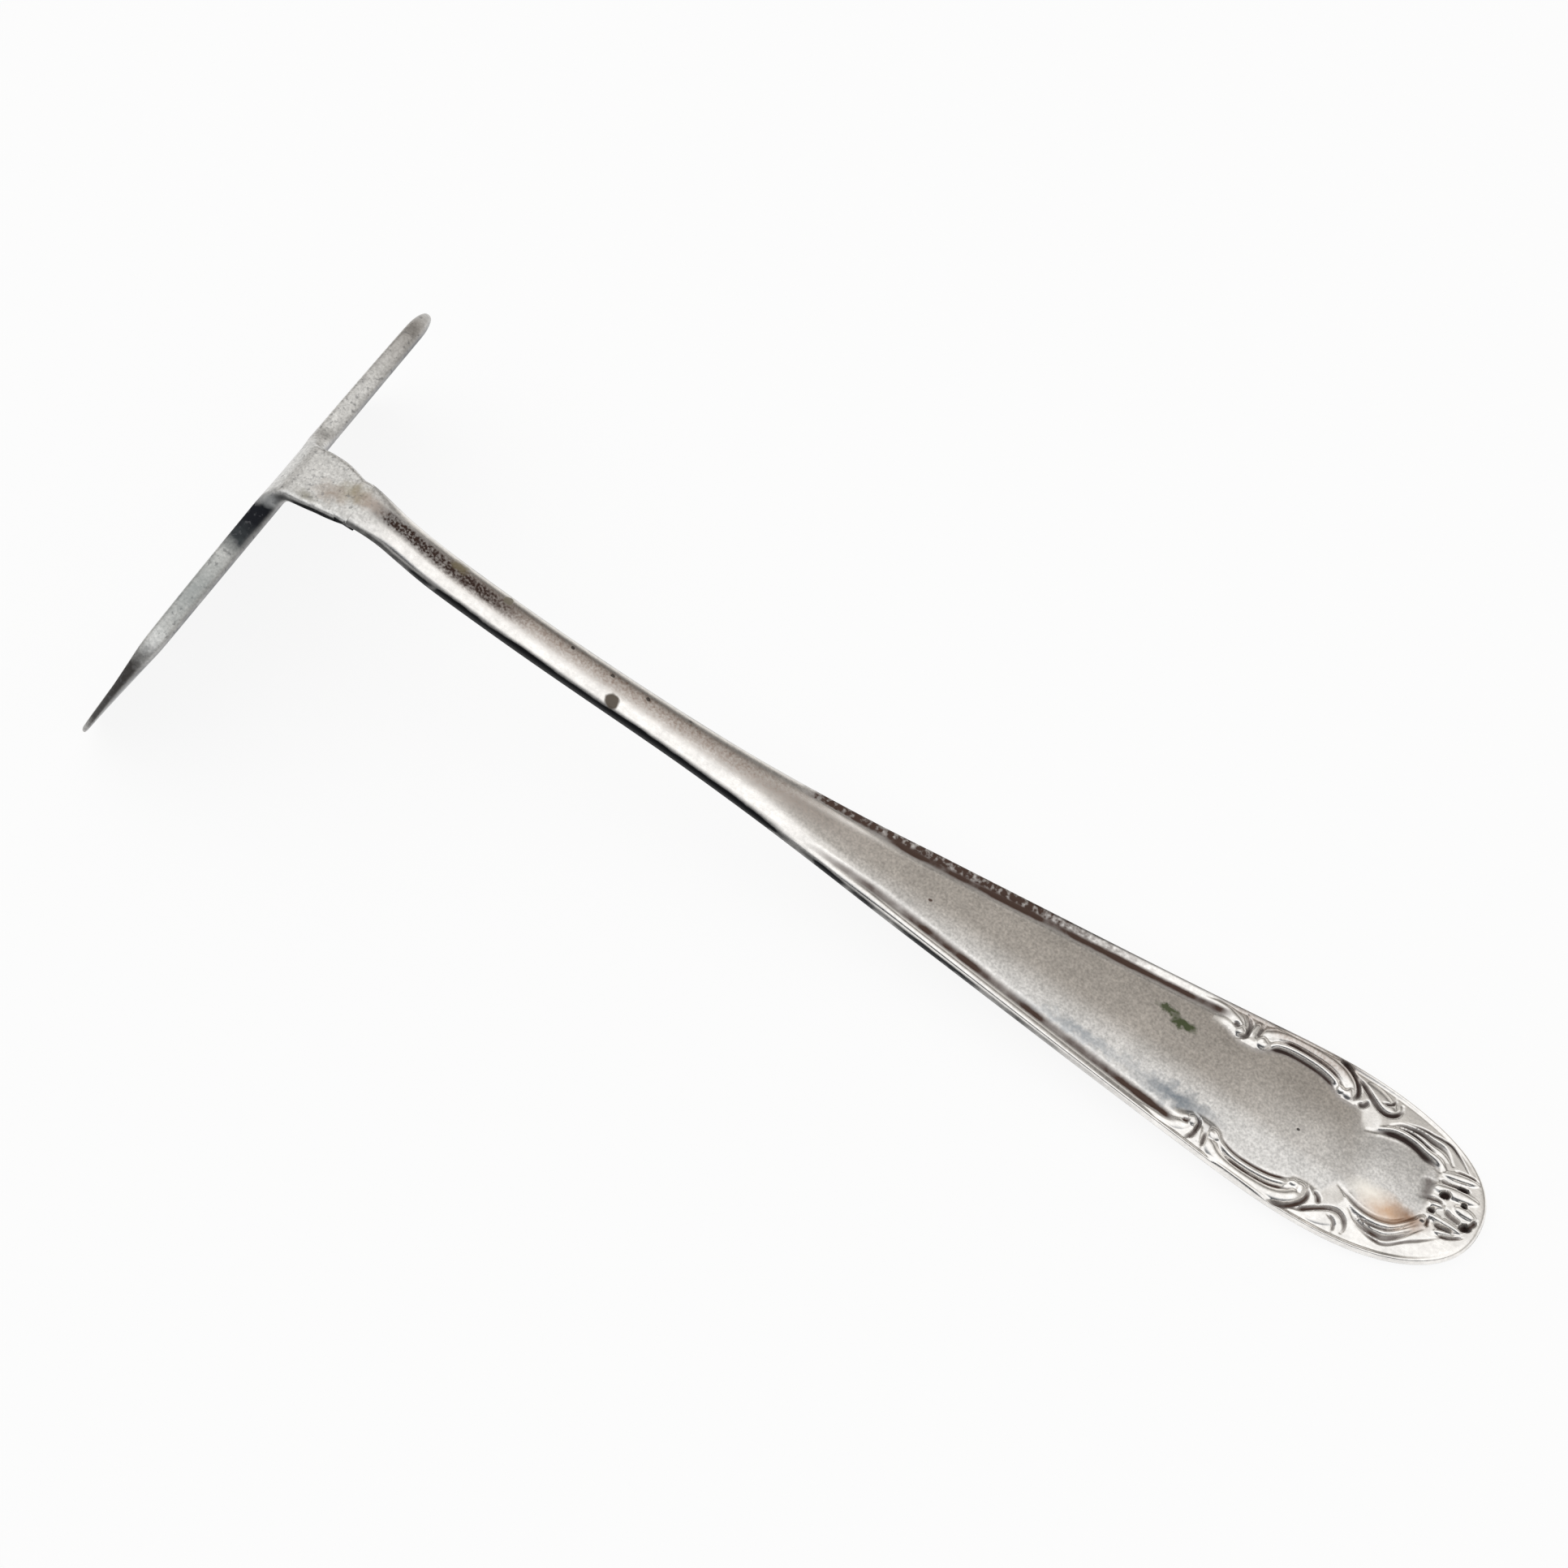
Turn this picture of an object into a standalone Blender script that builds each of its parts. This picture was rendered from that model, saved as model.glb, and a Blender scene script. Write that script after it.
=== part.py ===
# A child's food pusher as it rests on a table: a struck handle, a bent sheet blade, and the
# film of hard solder in the lap joint between them. Metres, +Z up, the handle along +X.
import math

import bmesh
import bpy
from mathutils import Vector

# Stance
HANDLE_LENGTH = 0.110  # bend line to the handle's tip
NECK_TOP = 0.0223  # top of the neck above the table

# Blade sheet
SHEET = 0.0011
BLADE_WIDTH = 0.045
BLADE_BOW = 0.0001  # how far the blade's ends curve back towards the handle
BLADE_LEAN = 26.8  # degrees from upright, lower edge outward
BEND_RADIUS = 0.0010  # inside of the bend
SHOULDER_DROP = 0.0020  # bend line to the shoulders, down the blade
UPPER_CORNER = 0.0060
LOWER_CORNER = 0.0050
NECK_WIDTH = 0.0051
NECK_END_WIDTH = 0.0044
NECK_FILLET = 0.0022
NECK_REACH = 0.0052  # bend line to the sheet's cut end

# Lap joint
JOINT_GAP = 0.00025
SOLDER_FILM = 0.0002
SOLDER_LIP = 0.0005
LAP_LENGTH = 0.0040
LAP_THICKNESS = 0.0007
LAP_INSET = 0.00025

# Handle outline and thickness
STEM_WIDTH = 0.0035
STEM_THICKNESS = 0.0021
STEM_LENGTH = 0.0345  # handle's cut end to where the grip starts to widen
HEEL_LENGTH = 0.0045  # thick end behind the joint, fading into the stem
FLARE_EASE = 0.0046  # how gently the stem turns into the grip
FLARE_EXCESS = 1.035  # straight sides aim this much past the widest place
WIDEST_EASE = 0.00015  # how gently they round off there
GRIP_WIDTH = 0.0144
GRIP_THICKNESS = 0.0016
TIP_ROUND = 0.0144  # widest place to the tip
TIP_POWER = 2.3  # fullness of the rounded tip

# Fullness of the sections: 2 is an ellipse, higher is squarer
STEM_TOP_POWER = 2.5
STEM_BASE_POWER = 3.5
HEEL_POWER = 6.0
GRIP_POWER = 7.0
TONGUE_POWER = 8.0
RELIEF_POWER = 12.0  # how late the ornament fades at the edges

# Struck ornament on the grip
PANEL_DEPTH = 0.00035
PANEL_WALL = 0.0005
RIM_WIDTH = 0.00135
RIM_START = 0.4  # share of the rim's width where it leaves the stem
RIM_FADE = 0.0120  # length over which panel and rims grow out of the stem
SCROLL_LENGTH = 0.0078  # between the two knobs of a C-scroll
SCROLL_SETBACK = 0.0177  # middle of the scrolls to the tip
SCROLL_BEAD = 0.0008  # half width of the bead
SCROLL_RISE = 0.00025
KNOB_REACH = 0.0012  # how far the knobs stand into the panel
LOBE_RADIUS = 0.0039
LOBE_SETBACK = 0.0076  # centre of the round lobe to the tip
LOBE_MOUTH = 0.0056  # narrow place between panel and lobe
PALMETTE_RADIUS = 0.0024
PALMETTE_SETBACK = 0.0027
PALMETTE_RISE = 0.0004
PETALS = 5
PETAL_CUT = 0.25  # share of the rise lost between petals

# Side view of the handle's middle line: share of the run, share of the drop still to come,
# pitch in degrees
SPINE_FORM = (
    (0.000, 1.000, -10.0),
    (0.029, 0.935, -31.0),
    (0.119, 0.745, -18.0),
    (0.316, 0.487, -13.0),
    (0.615, 0.210, -9.2),
    (0.861, 0.039, -5.5),
    (0.961, 0.000, 0.0),
    (1.000, 0.000, 0.0),
)

# Mesh fineness
TOP_CELLS = 28
BASE_CELLS = 10
ARC_STEPS = 8
BOW_STRIPS = 12
STEM_RINGS = 20
PANEL_RINGS = 26
SCROLL_RINGS = 20
TIP_RINGS = 28

HALF_SHEET = SHEET / 2
LEAN = math.radians(BLADE_LEAN)
BEND_ANGLE = math.pi / 2 - LEAN
BEND_MID_RADIUS = BEND_RADIUS + HALF_SHEET
BEND_TANGENT = BEND_MID_RADIUS * math.tan(BEND_ANGLE / 2)
SHEET_MID = NECK_TOP - HALF_SHEET
EDGE_DROP = SHEET_MID / math.cos(LEAN)  # bend line to the table, down the blade
BUTT = NECK_REACH + 2 * JOINT_GAP + SOLDER_LIP  # handle's cut end
HEEL_THICKNESS = SHEET + 2 * JOINT_GAP + SOLDER_FILM + LAP_THICKNESS + LAP_INSET
HEEL_BASE = NECK_TOP - HEEL_THICKNESS
WIDEST = HANDLE_LENGTH - TIP_ROUND
FLARE_START = BUTT + STEM_LENGTH
SCROLL_MID = HANDLE_LENGTH - SCROLL_SETBACK
PANEL_START = FLARE_START + FLARE_EASE
BLADE_FRONT = -EDGE_DROP * math.sin(LEAN) - HALF_SHEET / math.cos(LEAN)
MIDDLE = (BLADE_FRONT + HANDLE_LENGTH) / 2


def clear_scene():
    for old in list(bpy.data.objects):
        bpy.data.objects.remove(old, do_unlink=True)


def metal(name, colour, roughness):
    material = bpy.data.materials.new(name)
    material.use_nodes = True
    shader = material.node_tree.nodes["Principled BSDF"]
    shader.inputs["Base Color"].default_value = (*colour, 1.0)
    shader.inputs["Metallic"].default_value = 1.0
    shader.inputs["Roughness"].default_value = roughness
    return material


def finish_piece(name, bm, material, parent):
    bmesh.ops.recalc_face_normals(bm, faces=bm.faces)
    mesh = bpy.data.meshes.new(name)
    bm.to_mesh(mesh)
    bm.free()
    mesh.materials.append(material)
    mesh.shade_smooth()
    mesh.set_sharp_from_angle(angle=math.radians(35))
    piece = bpy.data.objects.new(name, mesh)
    bpy.context.collection.objects.link(piece)
    piece.parent = parent
    return piece


def ease(low, high, value):
    share = min(max((value - low) / (high - low), 0.0), 1.0)
    return share * share * (3 - 2 * share)


def bump(distance, reach):
    return max(0.0, 1 - (distance / reach) ** 2)


def spine(x):
    # Height and slope of the handle's middle line, by cubic Hermite spans
    run = HANDLE_LENGTH - BUTT
    base = GRIP_THICKNESS / 2
    drop = NECK_TOP - HEEL_THICKNESS / 2 - base
    share = (x - BUTT) / run
    for (u0, v0, pitch0), (u1, v1, pitch1) in zip(SPINE_FORM, SPINE_FORM[1:]):
        if share <= u1 or u1 == 1.0:
            break
    span = (u1 - u0) * run
    t = min(max((share - u0) / (u1 - u0), 0.0), 1.0)
    z0 = base + v0 * drop
    z1 = base + v1 * drop
    m0 = math.tan(math.radians(pitch0)) * span
    m1 = math.tan(math.radians(pitch1)) * span
    a = 2 * z0 - 2 * z1 + m0 + m1
    b = -3 * z0 + 3 * z1 - 2 * m0 - m1
    height = ((a * t + b) * t + m0) * t + z0
    slope = ((3 * a * t + 2 * b) * t + m0) / span
    return height, slope


def body_half_width(x):
    # Neck, stem and widening grip, up to the widest place
    stem = STEM_WIDTH / 2
    neck = (NECK_END_WIDTH / 2 - stem) * (1 - ease(BUTT, BUTT + HEEL_LENGTH, x))
    taper = FLARE_EXCESS * (GRIP_WIDTH / 2 - stem) / (WIDEST - FLARE_START)
    flare = taper * FLARE_EASE * math.log1p(math.exp((x - FLARE_START) / FLARE_EASE))
    cap = GRIP_WIDTH / 2
    width = stem + neck + flare
    return cap - WIDEST_EASE * math.log1p(math.exp((cap - width) / WIDEST_EASE))


def half_width(x):
    if x <= WIDEST:
        return body_half_width(x)
    past = min((x - WIDEST) / TIP_ROUND, 1.0)
    return body_half_width(WIDEST) * (1 - past**TIP_POWER) ** (1 / TIP_POWER)


def thickness(x):
    heel = (HEEL_THICKNESS - STEM_THICKNESS) * (1 - ease(BUTT, BUTT + 2 * HEEL_LENGTH, x))
    grip = (GRIP_THICKNESS - STEM_THICKNESS) * ease(FLARE_START, WIDEST, x)
    return STEM_THICKNESS + heel + grip


def panel_half_width(x):
    # Sunk panel: inside the rims, pinched by the scroll knobs, then drawn in to the lobe's mouth
    rim = RIM_WIDTH * (RIM_START + (1 - RIM_START) * ease(PANEL_START, SCROLL_MID, x))
    width = body_half_width(min(x, WIDEST)) - rim
    for side in (-1, 1):
        knob = SCROLL_MID + side * SCROLL_LENGTH / 2
        width -= KNOB_REACH * bump(x - knob, SCROLL_LENGTH / 4)
    last_knob = SCROLL_MID + SCROLL_LENGTH / 2
    mouth = HANDLE_LENGTH - LOBE_SETBACK - LOBE_RADIUS
    return width + (LOBE_MOUTH / 2 - width) * ease(last_knob, mouth, x)


def relief(x, y):
    # Struck ornament on the grip's top, zero at the rims
    lobe_x = HANDLE_LENGTH - LOBE_SETBACK
    grown = ease(PANEL_START, PANEL_START + RIM_FADE, x)
    inside = LOBE_RADIUS - math.hypot(x - lobe_x, y)
    if x < lobe_x:
        inside = max(inside, panel_half_width(x) - abs(y))
    sunk = -PANEL_DEPTH * grown * ease(-PANEL_WALL / 2, PANEL_WALL / 2, inside)
    along = (x - SCROLL_MID) / (SCROLL_LENGTH / 2)
    bow = KNOB_REACH * max(0.0, 1 - along * along)
    bead_line = body_half_width(min(x, WIDEST)) - RIM_WIDTH - KNOB_REACH / 2 + bow
    bead = SCROLL_RISE * bump(abs(y) - bead_line, SCROLL_BEAD) if abs(along) < 1 else 0.0
    leaf_x = x - (HANDLE_LENGTH - PALMETTE_SETBACK)
    petals = 0.5 + 0.5 * math.cos(PETALS * math.atan2(y, leaf_x + PALMETTE_RADIUS))
    cut = 1 - PETAL_CUT * (1 - petals)
    leaf = PALMETTE_RISE * cut * bump(math.hypot(leaf_x, y), PALMETTE_RADIUS)
    return sunk + bead + leaf


def section_shares(cells):
    # Shares of the half width from one edge to the other, closer together at the edges
    return [math.sin(math.pi / 2 * (2 * i / cells - 1)) for i in range(cells + 1)]


def oval(share, power):
    return max(0.0, 1 - abs(share) ** power) ** (1 / power)


def mixed_power(stem, squared, gripped):
    return stem + (HEEL_POWER - stem) * squared + (GRIP_POWER - stem) * gripped


def handle_ring(x):
    # One upright section: over the top from -Y to +Y, then back along the base
    height, slope = spine(x)
    half = thickness(x) / 2 * math.hypot(1.0, slope)
    width = half_width(x)
    gripped = ease(PANEL_START, PANEL_START + RIM_FADE, x)
    squared = 1 - ease(BUTT, BUTT + HEEL_LENGTH, x)
    top_power = mixed_power(STEM_TOP_POWER, squared, gripped)
    base_power = mixed_power(STEM_BASE_POWER, squared, gripped)
    ring = []
    for share in section_shares(TOP_CELLS):
        y = width * share
        struck = relief(x, y) * oval(share, RELIEF_POWER)
        ring.append((x, y, height + half * oval(share, top_power) + struck))
    for share in section_shares(BASE_CELLS)[-2:0:-1]:
        ring.append((x, width * share, height - half * oval(share, base_power)))
    return ring


def tongue_ring(x):
    # Section of the flat lap tongue under the neck
    width = NECK_END_WIDTH / 2 - LAP_INSET
    half = LAP_THICKNESS / 2
    middle = HEEL_BASE + LAP_INSET + half
    ring = []
    for share in section_shares(TOP_CELLS):
        ring.append((x, width * share, middle + half * oval(share, TONGUE_POWER)))
    for share in section_shares(BASE_CELLS)[-2:0:-1]:
        ring.append((x, width * share, middle - half * oval(share, TONGUE_POWER)))
    return ring


def steps(low, high, count):
    return [low + (high - low) * i / count for i in range(count)]


def handle_stations():
    scroll_start = SCROLL_MID - SCROLL_LENGTH
    places = steps(BUTT, PANEL_START, STEM_RINGS)
    places += steps(PANEL_START, scroll_start, PANEL_RINGS)
    places += steps(scroll_start, WIDEST, SCROLL_RINGS)
    for i in range(TIP_RINGS):
        turn = math.pi / 2 * i / TIP_RINGS
        places.append(WIDEST + TIP_ROUND * math.sin(turn) ** (2 / TIP_POWER))
    return sorted(places)


def make_handle(material, parent):
    rings = [tongue_ring(BUTT - LAP_LENGTH), tongue_ring(BUTT)]
    rings += [handle_ring(x) for x in handle_stations()]
    bm = bmesh.new()
    loops = [[bm.verts.new(point) for point in ring] for ring in rings]
    for first, second in zip(loops, loops[1:]):
        for i in range(len(first)):
            bm.faces.new((first[i - 1], first[i], second[i], second[i - 1]))
    bm.faces.new(loops[0])
    tip = bm.verts.new((HANDLE_LENGTH, 0.0, spine(HANDLE_LENGTH)[0]))
    last = loops[-1]
    for i in range(len(last)):
        bm.faces.new((last[i - 1], last[i], tip))
    return finish_piece("handle", bm, material, parent)


def arc(centre, radius, start, end):
    points = []
    for i in range(ARC_STEPS + 1):
        turn = math.radians(start + (end - start) * i / ARC_STEPS)
        points.append((centre[0] + radius * math.cos(turn), centre[1] + radius * math.sin(turn)))
    return points


def blade_half_outline():
    # Flat pattern, (across, along): along runs down the blade from the bend line, minus on the neck
    neck = NECK_WIDTH / 2
    side = BLADE_WIDTH / 2
    bottom = EDGE_DROP + HALF_SHEET * math.tan(LEAN)
    points = [(NECK_END_WIDTH / 2, -NECK_REACH)]
    points += arc((neck + NECK_FILLET, SHOULDER_DROP - NECK_FILLET), NECK_FILLET, 180, 90)
    points += arc((side - UPPER_CORNER, SHOULDER_DROP + UPPER_CORNER), UPPER_CORNER, -90, 0)
    points += arc((side - LOWER_CORNER, bottom - LOWER_CORNER), LOWER_CORNER, 0, 90)
    return points


def fold(point):
    # Bends the flat pattern round the bend line; z is the distance out from the sheet's middle
    across, along, out = point
    out -= BLADE_BOW * (2 * across / BLADE_WIDTH) ** 2
    from_start = along + BEND_TANGENT
    turn = min(max(from_start / (2 * BEND_TANGENT), 0.0), 1.0) * BEND_ANGLE
    start_x = BEND_TANGENT
    centre_z = SHEET_MID - BEND_MID_RADIUS
    radius = BEND_MID_RADIUS + out
    x = start_x - radius * math.sin(turn)
    z = centre_z + radius * math.cos(turn)
    straight = min(from_start, 0.0) + max(from_start - 2 * BEND_TANGENT, 0.0)
    return Vector((x - straight * math.cos(turn), across, z - straight * math.sin(turn)))


def make_blade(material, parent):
    half = blade_half_outline()
    outline = half + [(-across, along) for across, along in reversed(half)]
    bm = bmesh.new()
    face = bm.faces.new([bm.verts.new((across, along, -HALF_SHEET)) for across, along in outline])
    grown = bmesh.ops.extrude_face_region(bm, geom=[face])["geom"]
    raised = [part for part in grown if isinstance(part, bmesh.types.BMVert)]
    bmesh.ops.translate(bm, verts=raised, vec=(0, 0, SHEET))
    for i in range(ARC_STEPS + 1):
        line = BEND_TANGENT * (2 * i / ARC_STEPS - 1)
        geometry = bm.verts[:] + bm.edges[:] + bm.faces[:]
        bmesh.ops.bisect_plane(bm, geom=geometry, plane_co=(0, line, 0), plane_no=(0, 1, 0))
    for i in range(1, BOW_STRIPS):
        line = BLADE_WIDTH * (i / BOW_STRIPS - 0.5)
        geometry = bm.verts[:] + bm.edges[:] + bm.faces[:]
        bmesh.ops.bisect_plane(bm, geom=geometry, plane_co=(line, 0, 0), plane_no=(1, 0, 0))
    for vert in bm.verts:
        vert.co = fold(vert.co)
    # The lower edge is ground level with the table
    geometry = bm.verts[:] + bm.edges[:] + bm.faces[:]
    cut = bmesh.ops.bisect_plane(
        bm, geom=geometry, plane_co=(0, 0, 0), plane_no=(0, 0, -1), clear_outer=True
    )["geom_cut"]
    rim = [part for part in cut if isinstance(part, bmesh.types.BMEdge)]
    bmesh.ops.contextual_create(bm, geom=rim)
    return finish_piece("pusher_blade", bm, material, parent)


def make_seam(material, parent):
    # L-shaped film: flat between the lap tongue and the neck, turned up in the butt gap
    tongue_top = HEEL_BASE + LAP_INSET + LAP_THICKNESS
    low = tongue_top + JOINT_GAP
    front = BUTT - LAP_LENGTH
    lip = NECK_REACH + JOINT_GAP
    back = lip + SOLDER_LIP
    profile = [
        (front, low),
        (back, low),
        (back, NECK_TOP - LAP_INSET),
        (lip, NECK_TOP - LAP_INSET),
        (lip, low + SOLDER_FILM),
        (front, low + SOLDER_FILM),
    ]
    width = NECK_END_WIDTH - 2 * LAP_INSET
    bm = bmesh.new()
    face = bm.faces.new([bm.verts.new((x, -width / 2, z)) for x, z in profile])
    grown = bmesh.ops.extrude_face_region(bm, geom=[face])["geom"]
    raised = [part for part in grown if isinstance(part, bmesh.types.BMVert)]
    bmesh.ops.translate(bm, verts=raised, vec=(0, width, 0))
    return finish_piece("solder_seam", bm, material, parent)


def main():
    clear_scene()
    stand = bpy.data.objects.new("pusher_origin", None)
    bpy.context.collection.objects.link(stand)
    stand.location = (-MIDDLE, 0, 0)
    make_handle(metal("handle_plate", (0.62, 0.60, 0.56), 0.32), stand)
    make_blade(metal("blade_plate", (0.66, 0.66, 0.64), 0.38), stand)
    make_seam(metal("hard_solder", (0.55, 0.50, 0.30), 0.45), stand)
    bpy.context.view_layer.update()


main()
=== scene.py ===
import math

import bpy
import numpy as np
from mathutils import Matrix, Vector


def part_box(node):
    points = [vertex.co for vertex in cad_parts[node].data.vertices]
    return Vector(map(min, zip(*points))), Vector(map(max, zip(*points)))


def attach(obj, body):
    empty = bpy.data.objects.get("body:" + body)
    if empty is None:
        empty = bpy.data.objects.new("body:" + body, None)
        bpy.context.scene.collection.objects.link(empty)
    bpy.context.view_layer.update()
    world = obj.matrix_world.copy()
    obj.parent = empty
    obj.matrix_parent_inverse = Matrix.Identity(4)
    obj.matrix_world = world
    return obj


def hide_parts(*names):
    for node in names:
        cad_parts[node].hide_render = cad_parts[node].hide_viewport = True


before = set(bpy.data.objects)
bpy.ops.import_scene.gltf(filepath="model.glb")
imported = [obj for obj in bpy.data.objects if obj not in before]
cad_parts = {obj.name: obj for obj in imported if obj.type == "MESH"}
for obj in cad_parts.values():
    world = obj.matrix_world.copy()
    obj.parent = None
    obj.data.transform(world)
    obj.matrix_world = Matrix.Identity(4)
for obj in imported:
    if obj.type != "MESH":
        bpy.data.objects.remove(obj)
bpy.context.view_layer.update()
mm = 0.001
tiny = 1e-7  # metres: corners nearer than this become one
chunk = 4000  # places measured at a time, to spare memory
print("frame loaded:", ", ".join(sorted(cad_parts)))


def toLinear(hexColour):
    parts = [int(hexColour[i:i + 2], 16) / 255 for i in (1, 3, 5)]
    return tuple(c / 12.92 if c <= 0.04045 else ((c + 0.055) / 1.055) ** 2.4 for c in parts) + (1.0,)


def addNode(tree, kind, wires=None, out=0, **settings):
    # Gives back one output. Mix has its share at 0, values at 2 and 3, colours at 6 and 7, colour out at 2.
    # MapRange has its value at 0, the range it comes from at 1 and 2, the range it goes to at 3 and 4
    node = tree.nodes.new("ShaderNode" + kind)
    for name, value in settings.items():
        setattr(node, name, value)
    for socket, source in (wires or {}).items():
        if isinstance(source, bpy.types.NodeSocket):
            tree.links.new(source, node.inputs[socket])
        else:
            node.inputs[socket].default_value = source
    return node.outputs[out]


def ease(low, high, value):
    share = np.clip((value - low) / (high - low), 0.0, 1.0)
    return share * share * (3 - 2 * share)


def blend(start, end, share):
    return start + (end - start) * share


def between(limits, value):
    # Rises from the first limit to the second, falls from the third to the fourth
    rise, full, fall, end = limits
    return ease(rise, full, value) * (1 - ease(fall, end, value))


def perMm(size):
    return 1 / (size * mm)  # texture scale for a pattern of this size in millimetres


def startAlone():
    if bpy.context.object and bpy.context.object.mode != "OBJECT":
        bpy.ops.object.mode_set(mode="OBJECT")
    bpy.ops.object.select_all(action="DESELECT")


def nameNew(name):
    piece = bpy.context.object
    piece.name = name
    piece.data.name = name
    return piece


def readPlaces(piece):
    place = np.zeros(len(piece.data.vertices) * 3, np.float32)
    piece.data.vertices.foreach_get("co", place)
    return place.reshape(-1, 3)


def setPlaces(piece, place):
    piece.data.vertices.foreach_set("co", place.astype(np.float32).ravel())
    piece.data.update()


def addGrid(name, rows, columns):
    # Grid of faces, and where each corner stands in it both ways
    startAlone()
    bpy.ops.mesh.primitive_grid_add(x_subdivisions=rows, y_subdivisions=columns, size=2)
    piece = nameNew(name)
    share = (readPlaces(piece) + 1) / 2
    return piece, np.rint(share[:, 0] * rows).astype(int), np.rint(share[:, 1] * columns).astype(int)


def editAll():
    bpy.ops.object.mode_set(mode="EDIT")
    bpy.ops.mesh.select_all(action="SELECT")


def closeMesh(smoothAngle):
    bpy.ops.mesh.select_all(action="SELECT")
    bpy.ops.mesh.normals_make_consistent(inside=False)
    bpy.ops.object.mode_set(mode="OBJECT")
    bpy.ops.object.shade_smooth_by_angle(angle=math.radians(smoothAngle))


def setMark(piece, name, values):
    mark = piece.data.attributes.new(name, "FLOAT", "POINT")
    mark.data.foreach_set("value", np.clip(values, 0, 1).astype(np.float32))


def finishPiece(piece, material, node):
    piece.data.materials.clear()
    piece.data.materials.append(material)
    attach(piece, "root")
    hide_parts(node)


# Handle: struck in a die, so the stem, grip and ornament are one skin. Millimetres from the bend line
handleForm = {
    "length": 110.0, "buttEnd": 6.2, "neckTop": 22.3,
    "heelThickness": 2.75, "heelLength": 4.5, "heelStart": 5.1, "endWidth": 4.4,
    "stemWidth": 3.5, "stemThickness": 2.1, "stemLength": 34.5,
    "stemLift": 0.22, "heelLift": 1.0,  # how far above the middle the section is widest
    "stemTopPower": 2.5, "stemBasePower": 2.6,  # 2 is an ellipse, higher is squarer
    "heelPower": 4.0, "heelBasePower": 1.15,
    "heelBaseSpan": (8, 14),  # where the heel's V-shaped base turns into the stem's
    "flareEase": 4.6, "flareExcess": 1.035, "widestEase": 0.15,
    "gripWidth": 14.4, "gripThickness": 1.6, "gripGrown": 14.0,
    "tipRound": 14.4, "tipPower": 2.3,
    "edgeRound": 0.62, "baseRound": 1.3,  # how far in from its edge the grip rounds over
    "crown": 0.55,  # drop of the grip's top from its middle to its edges
    "crownFade": 0.5,
    "reliefFade": 0.3,  # the relief fades out this near the edge
    "tongueLength": 4.0, "tongueThickness": 0.7, "tongueInset": 0.25,
    "tongueNarrowed": 0.85,  # inset of its sides, so that the neck covers it
    "tonguePower": 8.0,
    "tongueBevel": (0.08, 0.06),  # at its end, along and inwards
    "stepGap": 1e-4,  # between the tongue's last row and the heel's first
    "stemStep": 0.6, "panelStep": 0.42,
    "ornamentStart": 83.0, "ornamentStep": 0.085,
    "tipStart": 108.4, "tipRows": 36, "tipCrowding": 2.2,
    "topColumns": 164, "baseColumns": 26,
    "columnSine": 0.45, "columnCrowding": 1.25,  # these bring the columns closer at the edges
    "outlinePoints": (700, 500),  # along the sides and round the tip
    "outlineCrowding": 0.87,
    "smoothAngle": 60,
}
# Side view of the middle line: share of the run, share of the drop still to come, pitch in degrees
spineForm = [(0, 1, -10), (0.029, 0.935, -31), (0.119, 0.745, -18), (0.316, 0.487, -13),
             (0.615, 0.21, -9.2), (0.861, 0.039, -5.5), (0.961, 0, 0), (1, 0, 0)]
neckOffset = {"across": -0.28, "span": (3.0, 5.8, 6.2, 11.0)}  # the joint sits a little to the near side
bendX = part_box("handle")[1].x - handleForm["length"] * mm
flareStart = handleForm["buttEnd"] + handleForm["stemLength"]
widestX = handleForm["length"] - handleForm["tipRound"]
panelStart = flareStart + handleForm["flareEase"]


def spineAt(x):
    h = handleForm
    run = h["length"] - h["buttEnd"]
    base = h["gripThickness"] / 2
    drop = h["neckTop"] - h["heelThickness"] / 2 - base
    share = np.clip((x - h["buttEnd"]) / run, 0, 1)
    height = np.zeros_like(share)
    slope = np.zeros_like(share)
    for (u0, v0, pitch0), (u1, v1, pitch1) in zip(spineForm, spineForm[1:]):
        here = (share >= u0) & (share <= u1)
        span = (u1 - u0) * run
        t = (share[here] - u0) / (u1 - u0)
        z0, z1 = base + v0 * drop, base + v1 * drop
        m0 = math.tan(math.radians(pitch0)) * span
        m1 = math.tan(math.radians(pitch1)) * span
        a = 2 * z0 - 2 * z1 + m0 + m1
        b = -3 * z0 + 3 * z1 - 2 * m0 - m1
        height[here] = ((a * t + b) * t + m0) * t + z0
        slope[here] = ((3 * a * t + 2 * b) * t + m0) / span
    return height, slope


def neckShift(x):
    return neckOffset["across"] * between(neckOffset["span"], x)


def bodyHalfWidth(x):
    h = handleForm
    stem = h["stemWidth"] / 2
    neck = (h["endWidth"] / 2 - stem) * (1 - ease(h["heelStart"], h["heelStart"] + h["heelLength"], x))
    taper = h["flareExcess"] * (h["gripWidth"] / 2 - stem) / (widestX - flareStart)
    flare = taper * h["flareEase"] * np.log1p(np.exp((x - flareStart) / h["flareEase"]))
    cap = h["gripWidth"] / 2
    return cap - h["widestEase"] * np.log1p(np.exp((cap - stem - neck - flare) / h["widestEase"]))


def halfWidth(x):
    h = handleForm
    past = np.clip((x - widestX) / h["tipRound"], 0, 1)
    return bodyHalfWidth(np.minimum(x, widestX)) * (1 - past ** h["tipPower"]) ** (1 / h["tipPower"])


def thicknessAt(x):
    h = handleForm
    heelEnd = h["buttEnd"] + 2 * h["heelLength"]
    heel = (h["heelThickness"] - h["stemThickness"]) * (1 - ease(h["buttEnd"], heelEnd, x))
    grip = (h["gripThickness"] - h["stemThickness"]) * ease(flareStart, widestX, x)
    return h["stemThickness"] + heel + grip


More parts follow.
